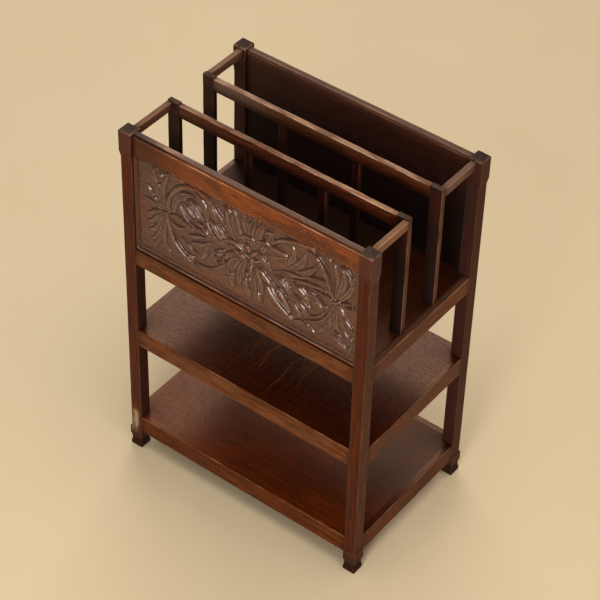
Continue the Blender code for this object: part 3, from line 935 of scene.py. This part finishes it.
def rubbed_to_the_right(vertices, facts):
    """Wear of hands on a top, from little at x = -60 mm to most at x = 200 mm."""
    rubbed_all_along(vertices, facts)
    share = smooth_step((vertices[:, 0] + 0.06) / 0.26)
    facts["arris"] = facts["arris"] * (0.6 + 0.7 * share)
    facts["top"] = 0.3 * share * bell(below_top(vertices), 0.0015)


def worn_short_rail(vertices, facts):
    """The front right short rail has lost some of its stain.

    The left ones and the back ones have a painted grey sheen, the back ones most,
    and painted shade deepens down all but the front right one.
    """
    right = vertices[:, 0] > 0
    front = vertices[:, 1] < 0
    deeper_shade = 0.15 + 0.4 * smooth_step((below_top(vertices) - 0.008) / 0.016)
    facts["arris"] = np.where(right & front, 0.8 * facts["arris"] + 0.1, 0.6 * facts["arris"])
    facts["top"] = np.where(right, 0.3 * front, 0.22)
    facts["pocket"] = np.where(right & front, 0.0, deeper_shade)
    facts["film"] = np.where(front, 0.4 * ~right, 0.6)


def rubbed_outside(vertices, facts):
    """Passing hands rub an end post's outer face. Its top is dusty, and the rest has painted pocket
    shade.
    """
    outer = np.abs(vertices[:, 0]).max() - np.abs(vertices[:, 0])
    drop = below_top(vertices)
    passed = bell(outer, 0.0010)
    rim = 0.8 * (drop < 0.0003)
    facts["arris"] = np.maximum(facts["arris"], np.maximum(0.16 * passed, rim))
    facts["top"] = 1.0 * (drop < 0.0001)
    right = vertices[:, 0] > 0
    facts["pocket"] = np.where(right, 0.65, 0.4) * (1 - passed) * (drop > 0.0003)
    facts["film"] = np.where(right, 0.0, 0.35) * (1 - passed)


def make_divider(side, seed):
    """Two end posts, a top rail and two slats at one side of the middle pocket."""
    rail_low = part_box(f"{side}_divider_rail")[0][2]
    # name, height of the top (its box's own if none), softness, extra facts
    uprights = (
        ("end_post", None, 0.0012, rubbed_outside),
        ("slat", rail_low - FIT, 0.0010, None),
    )
    for number, end in enumerate(("left", "right")):
        for step, (name, top, soft, extra) in enumerate(uprights):
            node = f"{side}_divider_{name}_{end}"
            low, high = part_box(node)
            corners = rectangle(low[0], high[0], low[1], high[1])
            make_length(
                node, 2, FLOOR_Z + FIT, top or high[2], corners, [soft] * 4,
                frame_oak, seed + 3 * step + number, extra=extra,
            )
    node = f"{side}_divider_rail"
    low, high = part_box(node)
    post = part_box(f"{side}_divider_end_post_right")[0][0]
    corners = rectangle(low[1], high[1], low[2], high[2])
    make_length(
        node, 0, FIT - post, post - FIT, corners, [0.0006, 0.0006, 0.0009, 0.0009],
        handled_oak, seed + 6, dents=2, rubbed_and_highlit=[0.1, 0.1, 0.6, 1.0],
        extra=rubbed_to_the_right if side == "front" else rubbed_all_along,
    )


def make_end_rail(side, end, seed):
    """A short rail from a corner post to the divider end post beside it."""
    node = f"{side}_end_rail_{end}"
    low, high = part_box(node)
    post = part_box(f"{side}_divider_end_post_{end}")
    sign = -1 if side == "front" else 1
    near = abs(post[0][1] if sign < 0 else post[1][1]) + FIT
    start, stop = sorted((sign * near, sign * (INNER_Y - FIT)))
    corners = rectangle(low[0], high[0], low[2], high[2])
    make_length(
        node, 1, start, stop, corners, [0.0005, 0.0005, 0.0008, 0.0008], handled_oak,
        seed, dents=1, rubbed_and_highlit=[0.1, 0.1, 1.0, 1.0], extra=worn_short_rail,
    )


for number, side in enumerate(("front", "back")):
    make_divider(side, 100 + 20 * number)
    for offset, end in enumerate(("left", "right")):
        make_end_rail(side, end, 110 + 20 * number + offset)
made = sum(piece.name.endswith("_timber") for piece in bpy.data.objects)
print("with dividers and end rails:", made, "pieces")

# %% [markdown]
# ## Front board
# The front board carries low relief leaf carving inside a plain margin: two
# loops of stem with leaves and pods in them, a flower and a palmette between,
# and fans of leaves that spring from a knot at each outer side. A carver sinks
# the ground, leaves the leaves standing, and rounds and veins them with
# gouges. It could be sculpted by hand or displaced by an image; here each stem
# and leaf is a gouge stroke of its own: a smooth line through a few placed
# points, with a width, a height and a section. The strokes are laid one over
# another on a fine grid, and each sinks a narrow moat round itself.

# %% Gouge strokes
GROUND = -5.0  # mm behind the face of the board
LIFT = 1.3  # the strokes' heights are given for a ground 4 mm deep
FIELD_X = 231.0  # half the carved field's length
FIELD_LOW, FIELD_HIGH = 498.0, 706.5
GRID = 1.06
LINE_STEP = 1.2
MOAT = 1.1

TAPERS = {
    # width along the stroke, from 0 to 1
    "stem": lambda t: np.clip(np.minimum(t / 0.06, (1 - t) / 0.10), 0.25, 1) ** 0.7,
    "leaf": lambda t: np.sin(np.pi * np.clip(t, 0.02, 1) ** 0.75) ** 0.8 + 0.08,
    "pod": lambda t: np.sqrt(np.clip(1 - (2 * t - 1) ** 2, 0.02, 1)),
    "petal": lambda t: np.clip(np.sin(np.pi * (0.12 + 0.85 * t)), 0.05, 1) ** 0.6,
    "tail": lambda t: (1 - 0.85 * t) * np.clip(t / 0.08, 0.3, 1) ** 0.6,
    "cut": lambda t: np.clip(np.sin(np.pi * t), 0.05, 1) ** 0.6,
}
SECTIONS = {
    # height across the stroke, from the middle (0) to the edge (1)
    "stem": lambda u: (1 - u**2) ** 0.75,
    "leaf": lambda u: (1 - u**2) ** 0.6 * (1 - 0.65 * bell(u, 0.2) - 0.3 * bell(u - 0.66, 0.1)),
    "pod": lambda u: (1 - u**2) ** 0.7,
    "petal": lambda u: np.clip((1 - u) / 0.28, 0, 1) ** 0.6
    * (0.35 + 0.65 * np.clip(u / 0.75, 0, 1) ** 2),
    "tail": lambda u: (1 - u**2) ** 0.75,
    "cut": lambda u: (1 - u) ** 1.2,
}


def centreline(points):
    """A smooth line through placed points, in even steps.

    Between two points it is the cubic curve whose slope at each of them is
    half the way from the point before to the point after.
    """
    p = np.array(points, float)
    p = np.vstack([2 * p[0] - p[1], p, 2 * p[-1] - p[-2]])
    a, b, c, d = (p[i : len(p) - 3 + i, None] for i in range(4))
    t = np.linspace(0, 1, 13)[None, :, None]
    line = 2 * b + (c - a) * t + (2 * a - 5 * b + 4 * c - d) * t**2
    line = (0.5 * (line + (3 * b - a - 3 * c + d) * t**3)).reshape(-1, 2)
    run = np.append(0, np.cumsum(np.linalg.norm(np.diff(line, axis=0), axis=1)))
    even = np.linspace(0, run[-1], max(5, int(run[-1] / LINE_STEP)))
    return np.stack([np.interp(even, run, line[:, 0]), np.interp(even, run, line[:, 1])], axis=1)


def gouge(height, xs, zs, kind, half, crest, points):
    """Lays one stroke into a height map in millimetres.

    Each grid point finds its nearest place on the line: t along it and d from
    it. With w = half * taper(t), the stroke stands crest * rise(t) *
    section(d / w) above the ground where d < w. Outside, a moat 1.1 mm wide
    sinks what lies there. A cut only takes away.
    """
    line = centreline(points)
    reach = half + 4
    i = slice(*np.searchsorted(xs, [line[:, 0].min() - reach, line[:, 0].max() + reach]))
    j = slice(*np.searchsorted(zs, [line[:, 1].min() - reach, line[:, 1].max() + reach]))
    spots = np.stack(np.meshgrid(xs[i], zs[j]), axis=-1)[:, :, None]
    start, way = line[:-1], np.diff(line, axis=0)
    share = np.clip(((spots - start) * way).sum(-1) / (way**2).sum(-1), 0, 1)
    far = np.linalg.norm(spots - start - share[..., None] * way, axis=-1)
    nearest = far.argmin(-1)[..., None]
    d = np.take_along_axis(far, nearest, -1)[..., 0]
    t = (nearest[..., 0] + np.take_along_axis(share, nearest, -1)[..., 0]) / len(way)
    w = np.maximum(half * TAPERS[kind](t), 0.4)
    inside = d < w
    section = SECTIONS[kind](np.minimum(d / w, 1))
    here = height[j, i]
    if kind == "cut":
        deeper = np.maximum(here - LIFT * crest * section, GROUND - 0.6)
        height[j, i] = np.where(inside, deeper, here)
        return
    rise = 0.62 + 0.38 * np.sin(np.pi * np.clip(t, 0, 1))
    top = GROUND + LIFT * crest * rise * (0.25 + 0.75 * section)
    moat = 0.75 * bell(d - w, MOAT)
    sunk = here - (here - GROUND) * moat - 0.3 * moat
    height[j, i] = np.where(inside, np.maximum(top, here - 1.6), sunk)


def soften(field, passes):
    """Blurs a grid: each pass takes a quarter, a half and a quarter of three neighbours."""
    for _ in range(passes):
        for axis in (0, 1):
            steps = np.arange(field.shape[axis])
            ahead = np.take(field, np.minimum(steps + 1, steps[-1]), axis)
            back = np.take(field, np.maximum(steps - 1, 0), axis)
            field = 0.25 * back + 0.5 * field + 0.25 * ahead
    return field


def strokes(table):
    """Reads a table of strokes. A row that starts with # is a note."""
    rows = [row.split() for row in table.strip().splitlines() if not row.startswith("#")]
    return [
        (kind, float(half), float(crest), [[float(v) for v in spot.split(",")] for spot in points])
        for kind, half, crest, *points in rows
    ]


print("ground:", GROUND, "mm; carved field:", 2 * FIELD_X, "x", FIELD_HIGH - FIELD_LOW, "mm")

# %% [markdown]
# The strokes follow, from the back to the front. Each row is one stroke: its
# kind, half width, height above the ground and the line's points (along the
# board, above the floor), all in millimetres. They were placed over the
# photograph's view of the board, group by group.

# %% The left loop
LEFT_LOOP = strokes("""
# leaves that fan up and down from the knot
leaf 5.5 3.2 -166,616 -172,640 -172,662 -166,682 -158,698
leaf 6.5 3 -168,616 -179,640 -188,664 -193,684 -188,702
leaf 5 3.2 -170,615 -180,632 -186,648 -182,664 -176,652
leaf 5 3 -172,614 -188,628 -200,640 -207,652
leaf 4 2.8 -174,613 -190,618 -204,622 -215,622
leaf 4.5 2.8 -173,610 -188,604 -200,594 -211,588
leaf 4.5 3 -171,608 -184,594 -196,580 -209,570
leaf 6 3.2 -169,606 -178,584 -190,564 -210,552
leaf 5 2.8 -168,604 -174,578 -186,550 -206,530
leaf 5 3 -167,604 -169,580 -172,560 -168,540 -158,526
leaf 4 2.6 -180,556 -184,540 -192,526 -188,518
# tips along the top
pod 4.5 3 -192,704 -186,698 -180,692
pod 3 2.8 -184,690 -178,687 -172,684
pod 4 2.8 -170,694 -163,697 -155,703
pod 4.5 3.2 -142,703 -134,699 -126,695
# the ring
stem 5 3.4 -163,616 -160,640 -150,664 -136,681 -118,692 -100,695
stem 4.6 4.2 -104,699 -86,693 -70,684 -56,673 -43,660 -33,646 -24,634
stem 4.8 4.2 -164,606 -160,588 -154,570 -146,556 -134,544 -121,535 -110,531
stem 2.4 2.8 -108,535 -94,534 -78,537 -62,545 -48,556 -38,568 -33,580
pod 4.5 3.4 -118,548 -112,543 -107,536
pod 3.4 3.4 -108,532 -104,530 -99,532
# leaves and pods inside it
leaf 7 3 -150,622 -146,646 -134,664 -116,676 -98,678
leaf 6 3.2 -104,686 -90,676 -80,660 -77,642 -70,630
leaf 5.5 3.4 -84,684 -70,672 -60,656 -52,642 -42,630
petal 6 3.6 -136,668 -128,660 -116,652 -104,640 -94,632
pod 5 3.8 -116,668 -104,660 -92,648 -84,636
pod 5.5 4.2 -130,656 -119,646 -108,634 -98,626
stem 3.4 4 -122,640 -112,631 -100,626 -88,622 -74,618
stem 2.6 3.6 -138,644 -128,630 -117,618 -104,612 -88,609 -70,608
pod 3.2 3.8 -90,622 -82,617 -72,612
pod 2.6 3.6 -100,616 -90,611 -80,607
stem 3.2 4 -80,640 -72,630 -64,619 -56,609
pod 6.5 4.4 -72,646 -61,637 -51,624 -40,614
pod 5 4.2 -56,648 -46,636 -38,624 -30,614
leaf 4.5 3.2 -160,600 -150,593 -138,592 -126,598
leaf 5 3 -156,612 -140,614 -122,608 -104,604
leaf 4 3.8 -120,586 -108,590 -94,597 -80,602
leaf 4 3.4 -114,574 -100,579 -84,586 -68,598
leaf 4.5 3.2 -92,548 -84,562 -79,578 -72,594
leaf 6 2.8 -136,574 -122,562 -108,556 -94,556
tail 3.8 3.6 -42,596 -54,588 -64,578 -64,567 -55,562 -48,568 -51,576
pod 3.4 3.6 -60,586 -54,582 -48,580
tail 3.2 3.2 -38,586 -44,574 -44,564 -50,556 -58,556
# the knot
pod 3.6 4.4 -166,620 -163,612 -166,604
pod 3 4 -158,619 -166,612 -176,610
""")
LEFT_CUTS = strokes("""
cut 1.3 1 -217,500 -217.5,560 -217,620 -217.5,690
cut 1.5 1.2 -228,504 -110,503.6 0,504.2 110,503.8 228,504
cut 1.6 2.2 -166,640 -164,655 -160,668
cut 1.6 2.2 -158,628 -155,640 -149,654
cut 1.8 2.6 -172,596 -173,582 -170,570
cut 1.6 2.4 -165,584 -166,570 -167,556
cut 1.4 1.8 -78,682 -76,664 -78,644
cut 1.4 2 -101,703 -94,700 -84,697
cut 1.4 1.8 -161,702 -154,705 -146,706
cut 1.3 1.6 -188,694 -182,690 -176,685
cut 1.5 1.8 -77,592 -76,580 -80,568
cut 1.3 1.6 -134,658 -124,646 -116,636
cut 1.2 1.6 -56,604 -48,602 -42,603
""")
print("left loop:", len(LEFT_LOOP) + len(LEFT_CUTS), "strokes")

# %% The right loop
RIGHT_LOOP = strokes("""
# leaves that fan from the right knot
leaf 5.5 3 188,618 190,642 190,664 184,684 172,699
leaf 6.5 3 190,617 198,640 203,662 200,682 190,690
leaf 6 3 192,616 206,634 216,652 219,668 210,680
tail 4 3.2 196,692 206,690 216,682 222,672 220,665
tail 3 3.2 204,700 212,706 221,705 222,698 216,698
stem 2.4 3.6 189,612 200,616 212,621 220,625
tail 3.2 3.6 206,612 214,612 222,616 221,624 215,622
leaf 5.5 2.8 191,608 202,594 212,584 222,580
tail 3.6 3.2 204,588 214,580 222,574 221,566 214,566
leaf 6 2.8 190,606 196,588 203,570 214,556
leaf 6 3.2 188,604 190,584 192,562 204,546
pod 3.6 3.6 188,549 196,547 206,543
leaf 5 2.8 186,604 184,582 180,560 172,542
tail 3.4 3.2 206,560 216,552 224,548 224,540 218,540
tail 3.6 3.2 186,536 196,532 206,526 214,520 210,514
pod 3 3.2 216,530 221,525 223,518
leaf 4 2.8 176,556 166,540 156,528 148,518
# tips along the top
pod 5.5 3.4 128,704 137,700 146,696
pod 3.6 3 150,704 160,704 168,700
pod 3.2 3 166,702 174,696 181,690
# the ring
stem 4 3 56,664 70,678 86,688 104,695 120,698 134,695
stem 4.6 4.2 130,691 144,687 155,680 164,668 170,654 175,636 182,618
stem 4.6 4.2 46,570 54,561 66,550 78,540 90,531 105,524
stem 2.6 3 126,534 138,541 151,548 163,558 173,572 181,592 186,608
stem 2.6 3 116,540 130,552 146,556 160,566 168,580
leaf 4.4 3 106,524 122,529 138,526 151,518
# leaves and pods inside it
petal 13 3.2 34,636 50,645 68,651 87,652
leaf 6 3 84,634 96,648 103,666 98,684
leaf 7 3 96,634 112,648 122,664 126,684
leaf 6 3.2 108,632 128,642 142,656 152,672
tail 5 3.4 112,626 134,634 152,642 166,642 172,634 167,629
leaf 4 3.2 58,603 74,613 94,620 116,626 140,634
leaf 4 3.2 92,606 112,614 134,620 158,624 176,622
stem 2 4 134,615 150,614 168,613 184,613
stem 2 3.6 140,609 156,609 170,610 184,611
pod 5.5 4.2 122,609 136,604 150,594 164,584
stem 2.6 4.2 124,607 138,603 150,598 162,592 172,590
pod 7 3.8 98,608 114,602 128,588 138,566
stem 2.4 4.2 100,607 112,603 122,597 131,587 137,576
pod 6.5 3.6 60,606 76,600 92,586 104,566
stem 2.4 4.2 62,604 72,600 82,594 92,585 100,574
pod 7 4.4 104,580 114,572 126,562 134,548
pod 5 4 104,566 111,557 118,547 120,538
pod 5.5 4 70,578 80,566 90,552 98,538
pod 6.5 4.4 34,600 43,588 54,578 66,568
pod 5 4 50,578 58,570 68,560 78,550
pod 3 3.8 20,602 29,596 38,588
# the knot
pod 3.6 4.4 184,620 188,612 186,604
pod 3 4.2 180,609 188,613 197,617
""")
RIGHT_CUTS = strokes("""
cut 1.8 2.6 79,670 87,661 90,648 87,636
cut 1.3 2 60,674 76,687 94,695 112,700 128,705
cut 1.4 2 104,676 101,664 104,652
cut 1.5 2.4 173,668 178,652 179,638
cut 1.5 2.2 186,664 186,646 185,628
cut 1.8 2.6 184,594 184,580 183,564
cut 1.5 2.2 178,582 174,570 166,558
cut 1.8 2.6 174,640 171,633 170,624
cut 1.4 2.2 118,602 128,592 136,580
cut 1.4 2 62,610 80,617 100,621
cut 1.4 2 104,611 118,614 132,617
cut 1.6 2.4 172,596 173,590 171,582
cut 1.6 2.2 86,588 85,576 88,564
cut 1.6 2.2 222,676 224,668 222,660
cut 1.5 2.2 224,628 225,620 222,612
cut 1.5 2.2 226,578 226,568 224,558
cut 1.5 2.2 226,552 226,545 223,538
cut 1.4 1.8 126,530 136,528 146,524
cut 1.4 1.8 46,572 48,564 54,556
""")
print("right loop:", len(RIGHT_LOOP) + len(RIGHT_CUTS), "strokes")

# %% The flower and the palmette
CENTRE = strokes("""
# palmette above
petal 10 3.2 -2,634 -12,654 -18,674 -24,694
petal 9 3.2 20,634 26,654 32,674 40,696
leaf 6 3.2 -20,632 -30,650 -36,668 -38,684
leaf 6.5 3 34,632 44,650 50,668 54,684
petal 7 3.6 10,640 10,660 3,680 -2,700
petal 7 3.6 13,640 15,662 18,682 22,700
tail 3.6 3.4 -30,690 -30,702 -22,706 -15,701 -19,696
pod 3.2 3.6 7,705 12,705 16,703
tail 3.6 3.4 30,698 36,705 44,705 48,697 43,692
stem 2.2 3.8 -44,691 -36,686 -28,681
stem 2 3.4 -38,695 -31,690 -25,686
tail 3.4 3.4 44,678 50,686 57,684 58,672 54,662
leaf 4 3.6 -14,640 0,649 14,654 26,646 30,634
leaf 5 3.8 26,650 36,656 46,660 56,656
# petals below
petal 9 3.2 -8,600 -20,584 -28,566 -30,548
petal 9 3.2 20,600 28,580 34,560 36,538
petal 7 3.4 2,596 -4,578 -8,560 -10,540
petal 7 3.4 12,596 18,576 22,556 24,536
pod 6 3 -24,552 -25,540 -22,526
pod 6.5 3.2 2,560 6,542 14,522
pod 5 3.8 30,546 34,534 37,524
stem 1.8 3.6 -32,558 -26,555 -20,553
pod 3.4 3.8 4,576 8,571 10,565
pod 3 3.8 12,569 15,563 19,558
pod 2.6 3.6 -2,570 1,564 2,558
pod 3 3.8 14,594 18,584 21,574
# petals each side of the flower
petal 7 3.6 -8,616 -24,622 -38,616 -50,606
petal 7 3.6 22,614 34,620 46,616 56,606
leaf 5 3.4 -8,606 -22,600 -34,590 -40,576
leaf 5 3.6 30,630 38,624 44,616 50,606
# the flower
pod 6.5 4.2 -22,611 -10,609 0,604 6,598
pod 5 4 -12,634 -5,628 2,620
pod 5 4.2 4,638 10,630 14,620
pod 5 4 28,632 22,624 16,616
pod 5 4 32,612 24,610 16,610
pod 5.5 4 22,594 18,602 14,608
pod 4.4 4.4 6,614 11,613 17,611
""")
CENTRE_CUTS = strokes("""
cut 1.7 2.6 0,694 3,682 6,668
cut 1.7 2.6 22,698 17,682 12,666
cut 1.4 2 -28,706 -20,709 -12,705
cut 1.4 2 34,704 42,709 50,702
cut 1.5 2.4 16,618 19,610 16,602
cut 1.4 2.2 -4,618 6,620 14,618
cut 1.6 2.2 28,646 30,638 27,630
cut 1.4 2 -22,634 -26,628 -32,624
cut 1.4 2 2,552 8,538 14,528
cut 1.4 2 18,560 22,546 24,532
cut 1.5 2.2 56,688 59,676 55,664
cut 1.4 2 -16,592 -20,578 -22,562
cut 1.4 1.8 4,592 8,584 8,578
""")
STROKES = LEFT_LOOP + RIGHT_LOOP + CENTRE + LEFT_CUTS + RIGHT_CUTS + CENTRE_CUTS
print("strokes in all:", len(STROKES))

# %% [markdown]
# The strokes are now laid on the board. The board is one closed surface: the
# columns run along it, and the rows go up its face, over its planed top, down
# its back and under it.

# %% The carved board
low, high = (np.array(c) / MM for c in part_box("carved_front_panel"))  # in mm, as all below
half_board = (INNER_X - FIT) / MM
SOFT_EDGE = 0.7  # the softened edge of its ends and its foot
inner_x = np.linspace(-FIELD_X + 0.6, FIELD_X - 0.6, int(2 * FIELD_X / GRID))
inner_z = np.linspace(FIELD_LOW + 0.8, FIELD_HIGH - 0.8, int((FIELD_HIGH - FIELD_LOW) / GRID))
# the ground runs out to the face over the top 13 mm, and steps up to a narrow lip at the foot
run_out = smooth_step((FIELD_HIGH + 1 - inner_z) / 13)
run_out *= smooth_step((inner_z - 500.8) / 2.4) * (0.5 + 0.5 * smooth_step((inner_z - 503) / 12))
ground = GROUND * np.repeat(run_out[:, None], len(inner_x), axis=1)
FIELD = (slice(3, 3 + len(inner_z)), slice(3, -3))  # the rows and columns of the field
for stroke in STROKES:
    gouge(ground, inner_x, inner_z, *stroke)

# the ground keeps shallow gouge marks, some 3 mm across and some 9 mm
random = np.random.default_rng(5)
relief = soften(ground, 1)
for passes, deep in ((2, 0.55), (14, 0.8)):
    marks = soften(random.normal(size=ground.shape), passes)
    relief += deep * marks / np.abs(marks).max() * run_out[:, None]

padded = np.pad(relief, 12, mode="edge")
padded[:12] = 0.0
broad = soften(padded, 14)[12:-12, 12:-12]
near = soften(relief, 3)
# crests are painted paler, as wear and a painted highlight; hollows darker, as dirt and painted
# shade
crest_wear_and_highlight = np.clip((relief - broad) / 2.4 + (relief - near) / 0.5, 0, 1)
hollow_dirt_and_shade = np.clip((broad - relief - 0.2) / 2.6 + (near - relief - 0.08) / 0.35, 0, 1)
busy = np.clip((soften(np.abs(relief - broad), 90) - 0.10) / 0.30, 0, 1)
print("relief from", relief.min().round(2), "to", relief.max().round(2), "mm")

# columns: board end, margin, the field's wall, the field
edge = np.array([-half_board, -half_board + SOFT_EDGE, -FIELD_X])
columns = np.concatenate([edge, inner_x, -edge[::-1]])
# rows up the face: foot, the field's wall, the field, its upper wall, the margin
top = high[2]
above = [FIELD_HIGH, FIELD_HIGH + 1.5, 712, 720, 730, top - 6, top - 4.6, top - 4]
face_z = np.concatenate([[low[2], low[2] + SOFT_EDGE, FIELD_LOW], inner_z, above])
depth = np.zeros((len(face_z), len(columns)))
depth[FIELD] = relief
depth[0, :] = -0.6
depth[-1, :] = -0.25
y_front = low[1] - depth  # the field is sunk, so its depth is below 0
# the rows over the top and down the back: place, height, how rubbed, dusty and dirty they are
front, back = low[1], high[1]
over = np.array(
    [
        (front + 0.6, top - 3.2, 0.2, 0.0, 0.4),
        (front + 2.8, top - 0.7, 0.0, 0.0, 0.5),
        (front + 3.6, top, 0.5, 0.6, 0.1),
        (front + 4.6, top, 0.0, 1.0, 0.0),
        (back - 4.6, top, 0.0, 1.0, 0.0),
        (back - 3.6, top, 1.2, 0.6, 0.0),
        (back - 2.4, top - 0.7, 0.2, 0.0, 0.0),
        (back - 0.6, top - 3.2, 0.0, 0.0, 0.0),
        (back, top - 4.6, 0.0, 0.0, 0.0),
        (back, top - 60, 0.0, 0.0, 0.0),
        (back, low[2] + 60, 0.0, 0.0, 0.0),
        (back, low[2] + SOFT_EDGE, 0.0, 0.0, 0.0),
        (back - SOFT_EDGE, low[2], 0.0, 0.0, 0.0),
    ]
)
ones = np.ones((1, len(columns)))
grid_x = np.tile(columns, (len(face_z) + len(over), 1))
grid_y = np.vstack([y_front, over[:, :1] * ones])
grid_z = np.vstack([face_z[:, None] * ones, over[:, 1:2] * ones])
rub = np.vstack([2.2 * bell(face_z[:, None] - top + 4, 0.5) * ones, over[:, 2:3] * ones])
# the left part of the top is paler
rub[len(face_z) + 3 : len(face_z) + 5] += 2.4 * bell(columns + 165, 34)
dusty = np.vstack([np.zeros_like(y_front), over[:, 3:4] * ones])
dirty = np.vstack([np.zeros_like(y_front), over[:, 4:] * ones])
rows, across = grid_x.shape


def on_board(inside):
    """Puts a value that is known in the field into a grid for the whole board."""
    whole = np.zeros((rows, across))
    whole[FIELD] = inside
    return whole


i, j = np.meshgrid(np.arange(rows), np.arange(across - 1), indexing="ij")
k = (i + 1) % rows
here, there = i * across + j, k * across + j
quads = np.stack([here, here + 1, there + 1, there], axis=-1).reshape(-1, 4)
end_one = [[*(np.arange(rows) * across)]]
end_two = [[*(np.arange(rows)[::-1] * across + across - 1)]]
board_points = np.stack([grid_x, grid_y, grid_z], axis=-1).reshape(-1, 3) * MM
in_field = np.abs(grid_x) < FIELD_X + 1
# along the field's foot the lip is paler, from wear and a painted highlight, and the cut above it
# darker, from dirt and painted shade
lip_wear_and_highlight = 0.6 * bell(grid_z - 500.2, 0.7) * in_field
cut_dirt_and_shade = bell(grid_z - 503.2, 0.8) * in_field
joint = np.exp(-np.minimum(half_board - np.abs(grid_x), grid_z - low[2]) / 1.6)
board_facts = {
    "timber": in_the_log(board_points, 0, 131),
    "arris": (on_board(0.3 * crest_wear_and_highlight) + rub + lip_wear_and_highlight).ravel(),
    "hollow": (on_board(0.95 * hollow_dirt_and_shade) + 0.6 * joint + cut_dirt_and_shade + dirty).clip(0, 1).ravel(),
    # the board's left end is darker, most of all in its margin
    "pocket": (
        0.2 * smooth_step((-grid_x - 40) / 160)
        + 0.6 * smooth_step((grid_z - 690) / 14) * smooth_step((-grid_x - 105) / 110)
    ).ravel(),
    "film": (
        (0.75 + 0.25 * on_board(busy)) * smooth_step((709 - grid_z) / 24) * (grid_z > 497)
    ).ravel(),
    "top": dusty.ravel(),
}
board_faces = quads.tolist() + end_one + end_two
add_piece(
    "carved_front_panel", board_points, board_faces, board_facts, board_oak,
    "carved_front_board",
)
print("carved board:", 2 * len(quads), "triangles")
